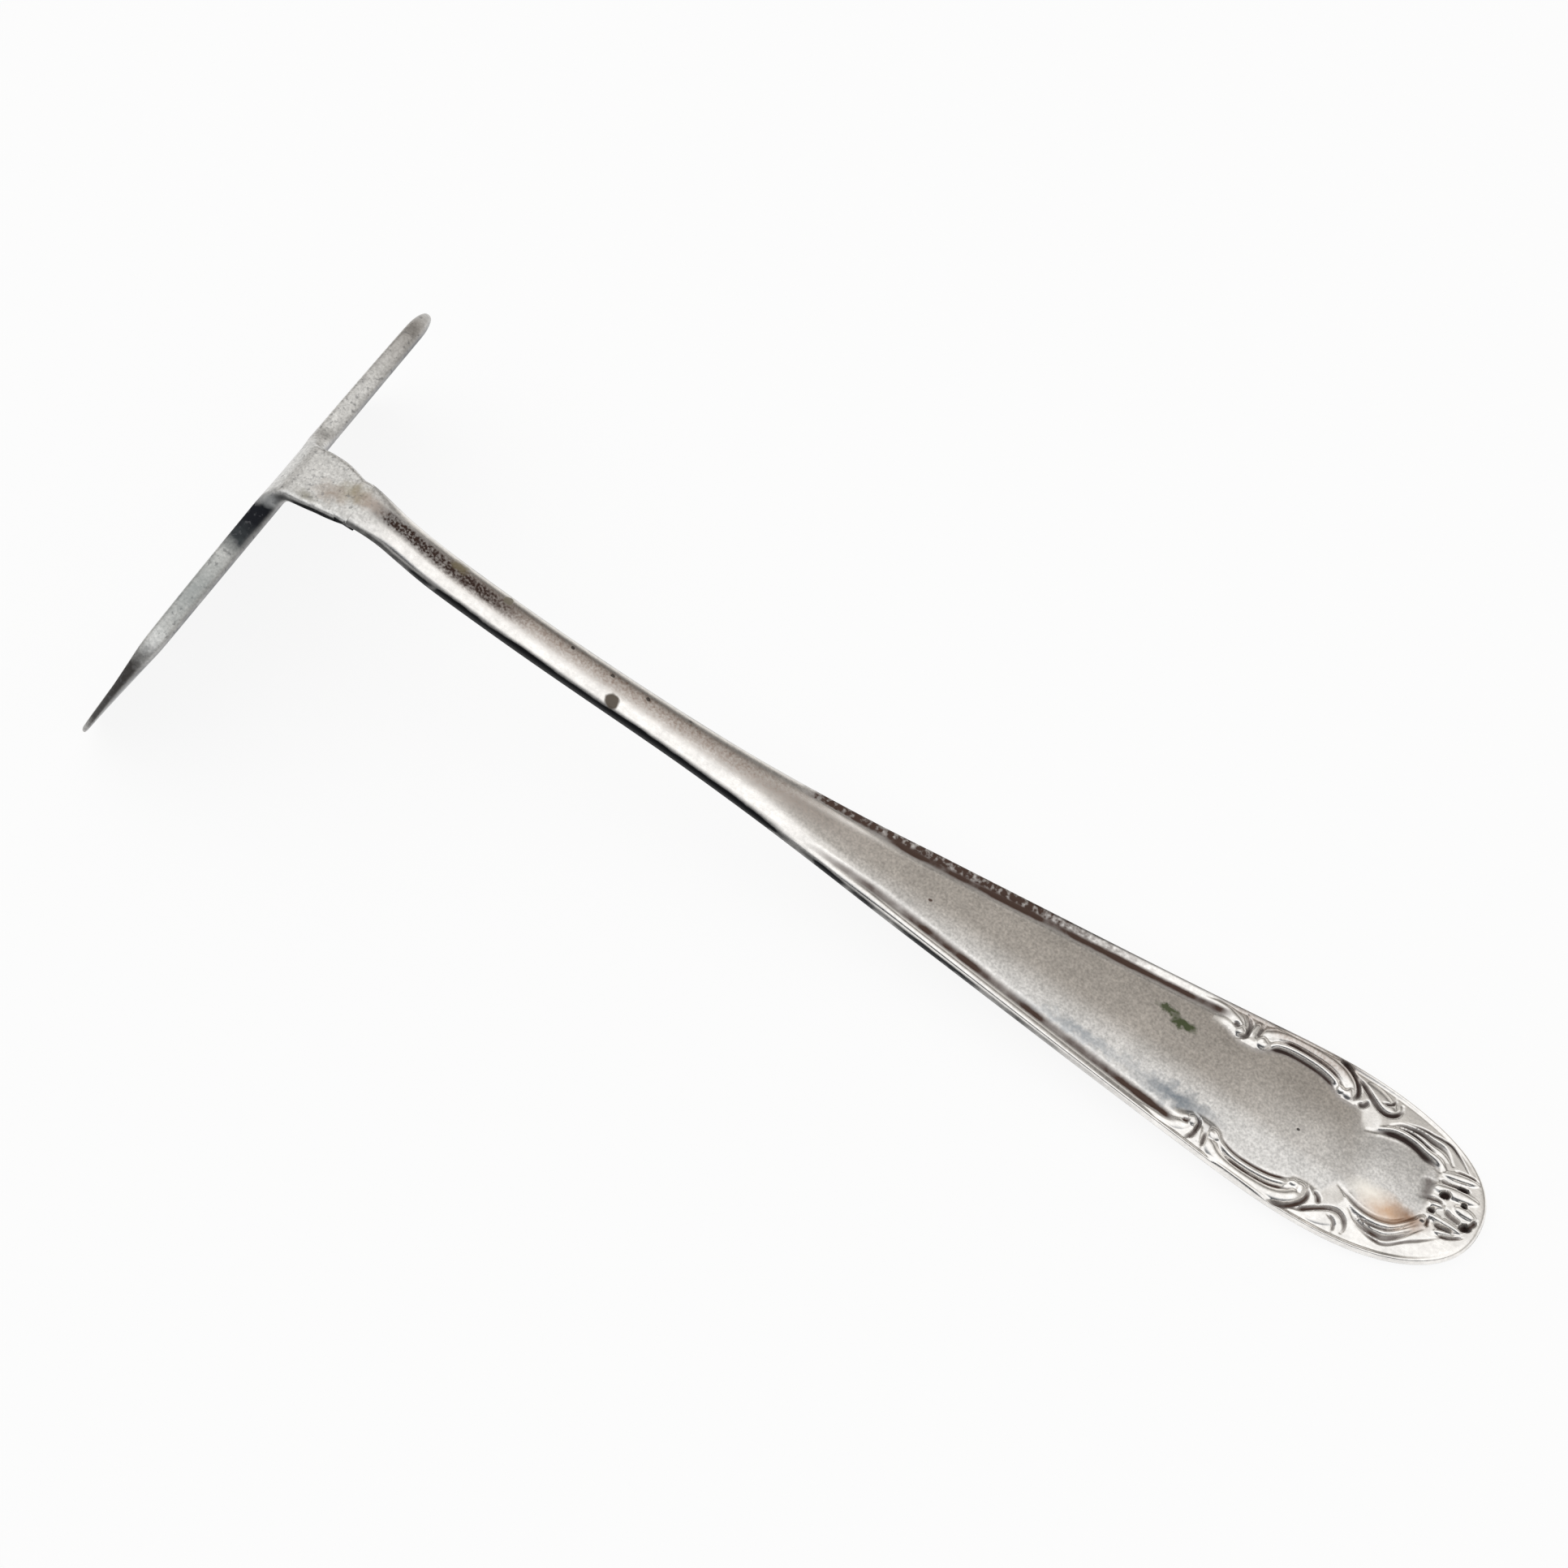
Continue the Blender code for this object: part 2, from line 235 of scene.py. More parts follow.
def edgeDistance(x, y):
    # Distance in from the outline, by the nearest of many outline points
    h = handleForm
    sides, tip = h["outlinePoints"]
    turned = np.sin(np.linspace(0, math.pi / 2, tip)) ** h["outlineCrowding"]
    xs = np.concatenate([np.linspace(h["buttEnd"], widestX, sides), widestX + h["tipRound"] * turned])
    ws = halfWidth(xs)
    reach = np.zeros_like(x)
    for i in range(0, len(x), chunk):
        far = (x[i:i + chunk, None] - xs) ** 2 + (np.abs(y[i:i + chunk, None]) - ws) ** 2
        reach[i:i + chunk] = np.sqrt(far.min(1))
    return np.minimum(reach, np.maximum(halfWidth(x) - np.abs(y), 0))


# Ornament, (along from the bend line, out from the middle), the same on both sides
rimForm = {
    "start": 45.0, "full": 58.0, "end": 85.8, "endFade": 1.8,
    "narrow": 0.5,  # share of its width at the start
    "crest": 0.36, "groove": 1.02, "panel": 1.8,  # in from the edge
    "depth": 0.27, "panelDepth": 0.13,
    "floorShare": 1.7,  # how much deeper the panel is between the ornaments
    "wall": 0.45,
    "shoulder": 98.6, "shoulderReach": 1.2, "shoulderWall": 2.6,
    "panelEnd": 105.2, "panelFade": 0.3,
    "grimeSpan": (-0.42, -0.05, 0.1, 0.75),  # from the groove
    "matteStart": (38, 50), "matteEdge": (-0.2, 0.6),
    "footShadeSpan": (84, 86, 97, 98),  # painted shade along the foot of the far scrolls
    "footShadeWidth": 0.4, "footShadeMost": 0.55,
}
panelLine = [(84.0, 4.35), (85.2, 4.2), (86.2, 3.85), (87.2, 3.75), (88.3, 3.9), (89.2, 4.4), (90.2, 4.85),
             (92.0, 5.05), (93.6, 4.9), (94.8, 4.5), (95.6, 4.1), (96.6, 4.0), (97.4, 4.1), (97.8, 3.9),
             (98.1, 3.3), (98.45, 2.85), (98.85, 2.62), (99.5, 2.75), (100.5, 3.1), (102.0, 3.3),
             (103.2, 3.15), (104.2, 2.8), (105.0, 2.3), (105.4, 1.7)]
# name: points, half width, rise (minus cuts in), share of the length over which each end fades
struckLines = {
    "crook": ([(82.6, 5.3), (84.0, 5.4), (85.0, 5.4), (85.8, 5.2), (86.35, 4.75), (86.45, 4.25)],
              0.5, 0.2, 0.3),
    "crookEye": ([(85.6, 4.75), (86.0, 4.75), (86.2, 4.55)], 0.26, -0.16, 0.3),
    "crookCut": ([(86.3, 3.8), (86.95, 4.25), (87.0, 4.9), (86.85, 5.5), (86.4, 6.0)], 0.24, -0.3, 0.25),
    "collar": ([(87.1, 4.4), (87.35, 5.1), (87.55, 5.95)], 0.28, 0.14, 0.2),
    "collarCut": ([(87.75, 4.6), (87.85, 5.2), (87.95, 6.0)], 0.2, -0.2, 0.3),
    "scrollOuter": ([(88.2, 4.7), (88.4, 5.3), (88.95, 5.82), (89.8, 6.16), (91.0, 6.34), (92.5, 6.42),
                     (94.0, 6.36), (95.1, 6.06), (95.9, 5.56), (96.25, 5.05), (96.2, 4.6)],
                    0.62, 0.32, 0.1),
    "scrollInner": ([(89.0, 4.7), (89.7, 5.12), (90.6, 5.36), (92.0, 5.44), (93.5, 5.34), (94.6, 5.06),
                     (95.3, 4.7)], 0.33, 0.27, 0.12),
    "scrollFoot": ([(88.9, 4.2), (89.6, 4.65), (90.6, 4.93), (92.0, 5.0), (93.5, 4.9), (94.6, 4.6),
                    (95.2, 4.25)], 0.2, -0.12, 0.15),
    "scrollValley": ([(89.5, 5.5), (90.6, 5.76), (92.2, 5.84), (93.8, 5.74), (95.0, 5.36), (95.6, 5.0)],
                     0.16, -0.12, 0.2),
    "scrollBack": ([(94.2, 7.0), (95.3, 6.72), (96.2, 6.16), (96.8, 5.45), (96.95, 4.8), (96.65, 4.15)],
                   0.26, -0.32, 0.2),
    "hookCut": ([(96.2, 6.4), (97.0, 6.02), (98.0, 5.36), (98.9, 4.84), (99.6, 4.7), (100.25, 5.0),
                 (100.6, 5.6), (100.5, 6.1)], 0.25, -0.3, 0.2),
    "hookCrescent": ([(98.9, 5.4), (99.5, 5.55), (99.8, 5.95), (99.8, 6.4)], 0.18, -0.18, 0.3),
    "stepCut": ([(97.2, 4.25), (97.7, 4.4), (98.0, 4.95)], 0.24, -0.24, 0.2),
}
struckBalls = {  # name: place, half length, half width, turn in degrees, rise
    "crookBulb": ((86.5, 4.4), 0.55, 0.5, 0, 0.24),
    "leafKnob": ((88.45, 4.5), 0.62, 0.55, 0, 0.26),
    "scrollBall": ((96.2, 4.55), 0.5, 0.5, 0, 0.2),
    "scrollSeed": ((95.5, 4.5), 0.36, 0.36, 0, 0.2),
    "hookTongue": ((98.7, 5.65), 1.7, 0.75, -22, 0.2),
}
# The lobe's end turns a little to the far side
lobeForm = {"shift": 0.6, "shiftSpan": (103.4, 105.6), "centre": 102.2, "radius": 3.5, "dome": 0.2}
lobeLines = {
    "edgeCut": ([(98.7, 2.66), (99.1, 2.82), (99.8, 3.12), (100.5, 3.38), (101.4, 3.55), (102.5, 3.5),
                 (103.6, 3.17), (104.5, 2.68), (105.3, 2.02)], 0.3, -0.24, 0.3),
    "firstBead": ([(99.6, 3.35), (100.5, 3.78), (101.4, 3.95), (102.6, 3.9), (103.7, 3.58), (104.7, 3.05),
                   (105.6, 2.3)], 0.33, 0.22, 0.25),
    "firstCut": ([(100.4, 4.0), (101.4, 4.28), (102.6, 4.25), (103.8, 3.9), (104.8, 3.36)],
                 0.14, -0.12, 0.35),
    "secondBead": ([(101.0, 4.4), (102.2, 4.52), (103.4, 4.3), (104.6, 3.76), (105.5, 3.1)],
                   0.24, 0.12, 0.35),
    "crescentCut": ([(100.2, 3.95), (101.2, 4.6), (102.9, 4.78), (104.2, 4.45), (105.1, 3.9),
                     (105.95, 3.0)], 0.28, -0.26, 0.4),
    "borderCut": ([(101.2, 4.9), (102.6, 5.2), (103.9, 5.15), (105.2, 4.6), (106.5, 3.75), (107.4, 3.0)],
                  0.16, -0.09, 0.3),
}
mirroredLines = [(struckLines, 1.0, 0.6), (lobeLines, 0.9, 0.8)]  # brown patina in the cuts, black painted shade in the far ones
# painted shadow at the lobe's end, where its dome falls into the palmette's hollow
lobeShadow = {"points": [(104.75, 1.9), (104.9, 1.2), (105.0, 0.6), (105.1, -0.2)], "halfWide": 0.7,
              "rise": -0.1, "fade": 0.15, "grimeAndShade": 0.8, "shadePower": 1.5}
# The palmette at the tip isn't mirrored: signed places across, then half length, half width, turn, rise
palmetteLeaves = [((106.95, 2.88), 1.55, 0.4, 11, 0.34), ((107.0, 1.45), 2.05, 0.56, 6, 0.36),
                  ((106.15, -0.1), 0.62, 0.27, 10, 0.3), ((108.3, 0.38), 1.0, 0.46, -5, 0.34),
                  ((107.2, -1.2), 1.6, 0.34, -3, 0.36), ((107.45, -1.98), 0.85, 0.24, 16, 0.26),
                  ((105.62, -1.72), 0.36, 0.32, 0, 0.22)]
palmettePits = [((107.45, 2.1), 0.62, 0.27, 12, -0.46), ((106.38, 0.98), 0.48, 0.31, 10, -0.6),
                ((105.92, -0.66), 0.38, 0.24, 8, -0.38), ((108.06, 0.86), 0.3, 0.27, 0, -0.56),
                ((108.8, -0.68), 0.56, 0.4, 20, -0.46)]
palmetteCuts = [([(106.3, 3.28), (107.2, 3.38), (108.25, 3.42)], 0.16, -0.2),
                ([(105.5, 2.0), (106.5, 2.0), (107.2, 2.2)], 0.2, -0.28),
                ([(105.0, 0.1), (105.7, 0.26), (106.6, 0.24)], 0.2, -0.32),
                ([(106.85, -0.05), (107.3, -0.34), (107.95, -0.48), (108.45, -0.58)], 0.24, -0.38),
                ([(108.8, -0.7), (109.2, -0.2), (109.35, 0.3)], 0.26, -0.34),
                ([(106.45, -1.56), (107.3, -1.66), (108.1, -1.62)], 0.22, -0.36),
                ([(105.95, -1.4), (106.1, -2.15)], 0.17, -0.24),
                ([(107.1, -2.4), (108.05, -2.1), (108.95, -1.55)], 0.15, -0.2)]
palmetteFade = 0.2
# How full the sections are, and the share of its width and height that a line keeps at its ends
bumpForm = {"linePower": 1.25, "leafPower": 3, "endWidth": 0.5, "endHeight": 0.25, "margin": 1.0}


def drawnLine(points, steps=8):
    # Smooth line through the points
    p = np.array(points, float)
    p = np.vstack([2 * p[0] - p[1], p, 2 * p[-1] - p[-2]])
    t = np.linspace(0, 1, steps, endpoint=False)[:, None]
    runs = []
    for a, b, c, d in zip(p, p[1:], p[2:], p[3:]):
        square, cube = 2 * a - 5 * b + 4 * c - d, 3 * b - a - 3 * c + d
        runs.append((2 * b + (c - a) * t + square * t**2 + cube * t**3) / 2)
    return np.vstack(runs + [p[-2:-1]])


def lineReach(line, x, y):
    # Distance from a line, and the share of the line's length at its nearest place
    reach = np.full(len(x), np.inf)
    share = np.zeros(len(x))
    low, high = line.min(0) - bumpForm["margin"], line.max(0) + bumpForm["margin"]
    near = np.flatnonzero((x > low[0]) & (x < high[0]) & (y > low[1]) & (y < high[1]))
    starts, spans = line[:-1], np.diff(line, axis=0)
    lengths = np.linalg.norm(spans, axis=1)
    before = np.concatenate([[0], np.cumsum(lengths)])
    places = np.stack([x[near], y[near]], 1)
    for i in range(0, len(near), chunk):
        apart = places[i:i + chunk, None] - starts
        t = np.clip((apart * spans).sum(2) / lengths**2, 0, 1)
        away = np.sqrt(((apart - t[:, :, None] * spans) ** 2).sum(2))
        nearest = away.argmin(1)
        here = np.arange(len(nearest))
        reach[near[i:i + chunk]] = away[here, nearest]
        share[near[i:i + chunk]] = (before[nearest] + t[here, nearest] * lengths[nearest]) / before[-1]
    return reach, share


def roundBump(reach, halfWide):
    return np.clip(1 - (reach / halfWide) ** 2, 0, 1) ** bumpForm["linePower"]


def lineBump(points, halfWide, fade, x, y):
    # Rounded ridge along a line, thinner and lower towards its ends
    reach, share = lineReach(drawnLine(points), x, y)
    full = ease(0, fade, share) * ease(0, fade, 1 - share)
    halfWide = halfWide * blend(bumpForm["endWidth"], 1, full)
    return roundBump(reach, halfWide) * blend(bumpForm["endHeight"], 1, full)


def leafBump(place, halfLong, halfWide, turn, x, y):
    c, s = math.cos(math.radians(turn)), math.sin(math.radians(turn))
    along = c * (x - place[0]) + s * (y - place[1])
    across = c * (y - place[1]) - s * (x - place[0])
    return np.clip(1 - np.hypot(along / halfLong, across / halfWide) ** bumpForm["leafPower"], 0, 1)


def struckRelief(x, y, inward):
    # Height of the ornament, and where its cuts are brown, with painted shade at the foot of the far
    # scrolls and at the lobe's end, the panel satin and the cuts black, the palmette's pits and painted
    # shade in the far cuts
    r, lobe, shadow = rimForm, lobeForm, lobeShadow
    side = np.abs(y - lobe["shift"] * ease(*lobe["shiftSpan"], x))
    grown = ease(r["start"], r["full"], x)
    fromEdge = inward / blend(r["narrow"], 1, grown)
    onRim = grown * (1 - ease(r["end"] - r["endFade"], r["end"], x))
    cove = ease(r["crest"], r["groove"], fromEdge)
    back = ease(r["groove"], r["panel"], fromEdge)
    relief = -onRim * (r["depth"] * cove - (r["depth"] - r["panelDepth"]) * back)
    grimeAndShade = onRim * between([r["groove"] + step for step in r["grimeSpan"]], fromEdge)

    line = drawnLine(panelLine)
    edge = np.interp(x, line[:, 0], line[:, 1])
    edge = np.where(x < panelLine[0][0], halfWidth(x) - (r["groove"] + r["panel"]) / 2, edge)
    wall = blend(r["wall"], r["shoulderWall"], roundBump(x - r["shoulder"], r["shoulderReach"]))
    ended = ease(r["panelEnd"] - r["panelFade"], r["panelEnd"] + r["panelFade"], x)
    inPanel = ease(-wall, r["wall"] / 2, edge - side) * (1 - ended)
    relief -= (1 - onRim) * grown * r["panelDepth"] * r["floorShare"] * inPanel
    matte = ease(*r["matteStart"], x) * ease(*r["matteEdge"], edge - side) * (1 - ended)
    footShade = np.where(edge > side, np.exp(-((edge - side) / r["footShadeWidth"]) ** 2), 0)
    grimeAndShade = np.maximum(grimeAndShade, r["footShadeMost"] * footShade * between(r["footShadeSpan"], x) * (y > 0))

    pitsAndShade = np.zeros_like(x)
    for lines, brown, shadeBlack in mirroredLines:
        for points, halfWide, rise, fade in lines.values():
            bump = lineBump(points, halfWide, fade, x, side)
            relief += rise * bump
            if rise < 0:
                grimeAndShade = np.maximum(grimeAndShade, brown * bump)
                # painted shade: the cuts black on the far side only
                pitsAndShade = np.maximum(pitsAndShade, shadeBlack * bump * (y > 0))
    for place, halfLong, halfWide, turn, rise in struckBalls.values():
        relief += rise * leafBump(place, halfLong, halfWide, turn, x, side)
    relief += lobe["dome"] * roundBump(np.hypot(x - lobe["centre"], y), lobe["radius"])
    leaf = np.zeros_like(x)
    for place, halfLong, halfWide, turn, rise in palmetteLeaves:
        leaf = np.maximum(leaf, rise * leafBump(place, halfLong, halfWide, turn, x, y))
    relief += leaf
    for place, halfLong, halfWide, turn, rise in palmettePits:
        bump = leafBump(place, halfLong, halfWide, turn, x, y)
        relief += rise * bump
        pitsAndShade = np.maximum(pitsAndShade, bump)
    for points, halfWide, rise in palmetteCuts:
        bump = lineBump(points, halfWide, palmetteFade, x, y)
        relief += rise * bump
        grimeAndShade = np.maximum(grimeAndShade, bump)
    bump = lineBump(shadow["points"], shadow["halfWide"], shadow["fade"], x, y)
    relief += shadow["rise"] * bump
    grimeAndShade = np.maximum(grimeAndShade, shadow["grimeAndShade"] * bump ** shadow["shadePower"])
    return relief, np.maximum(grimeAndShade, pitsAndShade), matte, pitsAndShade


# Wear on the handle, with painted light and shade: limits along, across, in from the edge or up the roll,
# and the most that it reaches
handleWear = {
    # painted highlight: the near side, and the near side by the scrolls, lighter
    "nearHighlight": (0.2, -3.0),
    "scrollHighlight": (84, 97), "scrollHighlightAcross": (3.5, -1.5), "scrollHighlightMost": 0.6,
    "stemRub": (46, 58), "stemRubMost": 0.3,
    "lobeRub": (96, 101), "lobeRubMost": 0.9,
    "streak": (6.4, 9.2, 17, 23), "streakAcross": (-0.75, 0.15, 0.6, 1.3),
    "film": (9, 16, 38, 60), "filmNear": (-1.1, 0.5), "filmFar": (0.95, 1.3),
    # painted shade: a dark band along the far border
    "farBorderShade": (82, 86, 95, 98.5), "farBorderShadeAcross": (5.2, 6.0), "farBorderShadeMost": 0.8,
    "farRim": (45, 49, 64, 86), "farRimAcross": (0.2, 0.8), "farRimInward": (0.75, 1.2),
    # painted dark reflection: black on the flanks and the far edge, weaker on the far side
    "stemShade": (8.5, 16, 36, 60), "stemShadeRoll": (0.4, 0.88),
    "edgeShadeEnd": (62, 90), "edgeShadeRoll": (0.35, 0.75), "edgeShadeMost": 0.8,
    "heelRollMore": (0.35, 0.22),  # added to the edge's roll at the heel
    "baseShadeRoll": (0.55, 0.98), "baseShadeMost": 0.7,
    "nearSide": (0.4, -0.4), "farShadeShare": 0.35,  # share of this painted dark reflection on the far side
    "farEdgeShade": (62, 70, 94, 99), "farEdgeShadeInward": (0.15, 0.45), "farEdgeShadeMost": 0.5,
    # painted shade on the grip's underside
    "underRoll": (0.3, 0.9),
}


def makeHandle():
    h, wear = handleForm, handleWear
    tongueStart = h["buttEnd"] - h["tongueLength"]
    bevelAlong, bevelInwards = h["tongueBevel"]
    tongueRows = [tongueStart, tongueStart + bevelAlong, h["buttEnd"] - h["stepGap"]]
    crowded = 1 - (1 - np.linspace(0, 1, h["tipRows"])) ** h["tipCrowding"]
    rows = np.concatenate([
        tongueRows,
        np.arange(h["buttEnd"], panelStart, h["stemStep"]),
        np.arange(panelStart, h["ornamentStart"], h["panelStep"]),
        np.arange(h["ornamentStart"], h["tipStart"], h["ornamentStep"]),
        h["tipStart"] + (h["length"] - h["tipStart"]) * crowded,
    ])
    piece, row, column = addGrid("struckHandle", len(rows) - 1, h["topColumns"] + h["baseColumns"])

    x = rows[row]
    onTop = column <= h["topColumns"]
    topShare = np.minimum(column / h["topColumns"] * 2 - 1, 1)
    topShare = h["columnSine"] * np.sin(math.pi / 2 * topShare) + (1 - h["columnSine"]) * topShare
    topShare = np.sign(topShare) * (1 - (1 - np.abs(topShare)) ** h["columnCrowding"])
    baseShare = np.sin(math.pi / 2 * (1 - (column - h["topColumns"]) / h["baseColumns"] * 2))
    share = np.where(onTop, topShare, baseShare)
    wide = halfWidth(x)
    y = wide * share
    height, slope = spineAt(x)
    half = thicknessAt(x) / 2 * np.hypot(1, slope)
    inward = edgeDistance(x, y)
    gripped = ease(panelStart, panelStart + h["gripGrown"], x)
    squared = 1 - ease(h["buttEnd"], h["buttEnd"] + h["heelLength"], x)
    lift = blend(h["stemLift"], h["heelLift"], squared) * (1 - gripped)
    topRound = blend(wide, h["edgeRound"], gripped)
    baseRound = blend(wide, h["baseRound"], gripped)
    topPower = blend(h["stemTopPower"], h["heelPower"], squared)
    basePower = blend(h["stemBasePower"], h["heelBasePower"], 1 - ease(*h["heelBaseSpan"], x))
    power = np.where(onTop, topPower, basePower)
    q = np.clip(inward / np.where(onTop, topRound, baseRound), 0, 1)
    roll = (1 - (1 - q) ** power) ** (1 / power)
    relief, grimeAndShade, matte, pitsAndShade = struckRelief(x, y, inward)
    lasting = ease(0, h["reliefFade"], inward) * onTop
    crown = h["crown"] * gripped * (y / (h["gripWidth"] / 2)) ** 2 * ease(0, h["crownFade"], inward)
    top = (half - lift) * roll - crown + relief * lasting
    z = height + lift + np.where(onTop, top, -(half + lift) * roll)

    tongue = row < len(tongueRows)
    inside = h["endWidth"] / 2 - h["tongueNarrowed"]
    tongueMid = h["neckTop"] - h["heelThickness"] + h["tongueInset"] + h["tongueThickness"] / 2
    tongueRoll = (1 - np.abs(share) ** h["tonguePower"]) ** (1 / h["tonguePower"])
    tongueRoll *= h["tongueThickness"] / 2
    shrink = np.where(row == 0, bevelInwards, 0)
    y = np.where(tongue, (inside - shrink) * share, y)
    z = np.where(tongue, tongueMid + np.where(onTop, 1, -1) * np.maximum(tongueRoll - shrink, 0), z)
    setPlaces(piece, np.stack([x * mm + bendX, (y + neckShift(x)) * mm, z * mm], 1))

    # Rubbed places with the near side lighter as a painted highlight, the stem's dark streak and brown
    # film, painted shade along the far border, the brown on the far rim
    rubbedAndLit = np.maximum.reduce([
        ease(*wear["nearHighlight"], y),
        wear["scrollHighlightMost"] * ease(*wear["scrollHighlight"], x) * ease(*wear["scrollHighlightAcross"], y),
        wear["stemRubMost"] * (1 - ease(*wear["stemRub"], x)),
        wear["lobeRubMost"] * ease(*wear["lobeRub"], x),
    ])
    streak = between(wear["streak"], x) * between(wear["streakAcross"], y)
    ofStem = y / np.maximum(wide, tiny) * h["stemWidth"] / 2
    film = between(wear["film"], x) * ease(*wear["filmNear"], y) * (1 - ease(*wear["filmFar"], ofStem))
    # painted shade along the far border, carried with the brown film
    farBorderShade = between(wear["farBorderShade"], x) * ease(*wear["farBorderShadeAcross"], y)
    film = np.maximum(film, wear["farBorderShadeMost"] * farBorderShade)
    farRim = between(wear["farRim"], x) * ease(*wear["farRimAcross"], y)
    farRim *= 1 - ease(*wear["farRimInward"], inward)

    # Black flanks of painted dark reflection, widest on the stem's near side, thin along the grip's edges;
    # painted shade on the hidden tongue
    onStem = between(wear["stemShade"], x)
    lasts = 1 - ease(*wear["edgeShadeEnd"], x)
    stemShade = (1 - ease(*wear["stemShadeRoll"], roll)) * onStem
    low, high = (limit + more * squared for limit, more in zip(wear["edgeShadeRoll"], wear["heelRollMore"]))
    edgeShade = (1 - ease(low, high, roll)) * wear["edgeShadeMost"] * lasts
    baseShade = (1 - ease(*wear["baseShadeRoll"], roll)) * np.maximum(onStem, wear["baseShadeMost"] * lasts)
    flankShade = np.where(onTop, np.maximum(stemShade, edgeShade), baseShade)
    nearSide = ease(*wear["nearSide"], y)
    flankShade *= blend(wear["farShadeShare"], 1, nearSide)
    farEdgeShade = between(wear["farEdgeShade"], x) * (1 - ease(*wear["farEdgeShadeInward"], inward))
    flankShade = np.maximum(flankShade, wear["farEdgeShadeMost"] * farEdgeShade * (1 - nearSide) * onTop)

    topMarks = {"grimeAndShade": grimeAndShade * lasting, "pitsAndShade": pitsAndShade * lasting, "matte": matte, "rubbedAndLit": rubbedAndLit,
                "streak": streak, "film": film, "farRim": farRim}
    for name, values in topMarks.items():
        setMark(piece, name, np.where(onTop & ~tongue, values, 0))
    # painted dark reflection on the flanks, painted shade on the tongue under the neck
    setMark(piece, "flankShade", np.where(tongue, 1, flankShade))
    # painted shade on the underside and on the tongue under the neck
    setMark(piece, "under", np.where(tongue, 1, np.where(onTop, 0, ease(*wear["underRoll"], roll))))
    editAll()
    bpy.ops.mesh.remove_doubles(threshold=tiny)
    bpy.ops.mesh.select_all(action="DESELECT")
    bpy.ops.mesh.select_non_manifold()
    bpy.ops.mesh.edge_face_add()
    closeMesh(h["smoothAngle"])
    return piece


# Blade: one sheet, cut to a T, its rim rounded, thinned towards the lower edge, then bent down at the neck
bladeForm = {
    "sheet": 1.1,
    "upset": 0.28,  # extra thickness inside the bend and along the shoulders
    "upsetStart": (-2.0, -0.4),
    "swell": 0.42,  # and outside, below the bend
    "swellStart": 0.2, "swellEnd": 14.0,
    "swellLost": 0.7,  # share of it that is lost towards both ends
    "thinned": 0.7,  # taken off the inner side at the lower edge
    "width": 45.0,
    "endThinned": 0.45,  # share of the thickness filed off towards both ends
    "endStart": 18.0,
    "bow": 0.02, "lean": 26.8, "bendRadius": 1.0,
    "shoulderDrop": 2.0, "shoulderPoints": 10,
    "upperCorner": 6.0, "upperCornerTall": 8.0, "lowerCorner": 7.0,
    "neckWidth": 5.4, "neckEndWidth": 4.34, "neckTaper": 4.0,
    "neckPoints": 9, "neckFillet": 3.0, "neckReach": 5.3,
    "rimRound": 0.44, "rimSteps": 7, "rimMargin": 0.12,
    "cornerClear": 1.0,  # no outline points this near the neck's end
    "footTrim": 0.6,  # spare length that is ground off level with the table
    "footClear": 1.0,  # no row of edges this near the lower edge
    "arcSteps": 18, "bendSteps": 14, "rowStep": 2.0, "strips": 24,
    "flatWeld": 1e-5,  # millimetres, while the sheet is flat
    "groundWeld": 1e-8,
    "neckShadeAlong": (1.0, 3.5),  # the painted dark reflection on the neck's near edge ends here
    "neckShadeAcross": (5.0, 7.5), "neckShadeSide": (0.5, -0.5), "neckShadeMost": 0.9,
    "smoothAngle": 32,
}


def cornerArc(centre, wide, tall, start, end):
    turns = np.radians(np.linspace(start, end, bladeForm["arcSteps"] + 1))
    return [(centre[0] + wide * math.cos(t), centre[1] + tall * math.sin(t)) for t in turns]


def bladeOutline():
    # Flat pattern, (across, along): along runs down the blade from the bend line, minus on the neck
    b = bladeForm
    half = b["sheet"] / 2
    lean = math.radians(b["lean"])
    neck, neckEnd, side = b["neckWidth"] / 2, b["neckEndWidth"] / 2, b["width"] / 2
    fillet, upper, tall, lower = b["neckFillet"], b["upperCorner"], b["upperCornerTall"], b["lowerCorner"]
    shoulder = b["shoulderDrop"]
    bottom = (handleForm["neckTop"] - half) / math.cos(lean) + half * math.tan(lean) + b["footTrim"]
    start = b["cornerClear"] - b["neckReach"]
    taper = [-b["neckReach"], *np.linspace(start, shoulder - fillet, b["neckPoints"], endpoint=False)]
    widened = [1 - max(0, 1 - (s + b["neckReach"]) / b["neckTaper"]) ** 2 for s in taper]
    right = [(blend(neckEnd, neck, share), s) for share, s in zip(widened, taper)]
    right += cornerArc((neck + fillet, shoulder - fillet), fillet, fillet, 180, 90)
    right += [(a, shoulder) for a in np.linspace(neck + fillet, side - upper, b["shoulderPoints"])[1:-1]]
    right += cornerArc((side - upper, shoulder + tall), upper, tall, -90, 0)
    right += cornerArc((side - lower, bottom - lower), lower, lower, 0, 90)
    return np.array(right + [(-a, s) for a, s in reversed(right)]), bottom


def bendOf(b):
    # Turn of the bend, the radius of the sheet's middle in it, and from the bend line to the bend's start
    bend = math.pi / 2 - math.radians(b["lean"])
    midRadius = b["bendRadius"] + b["sheet"] / 2
    return bend, midRadius, midRadius * math.tan(bend / 2)


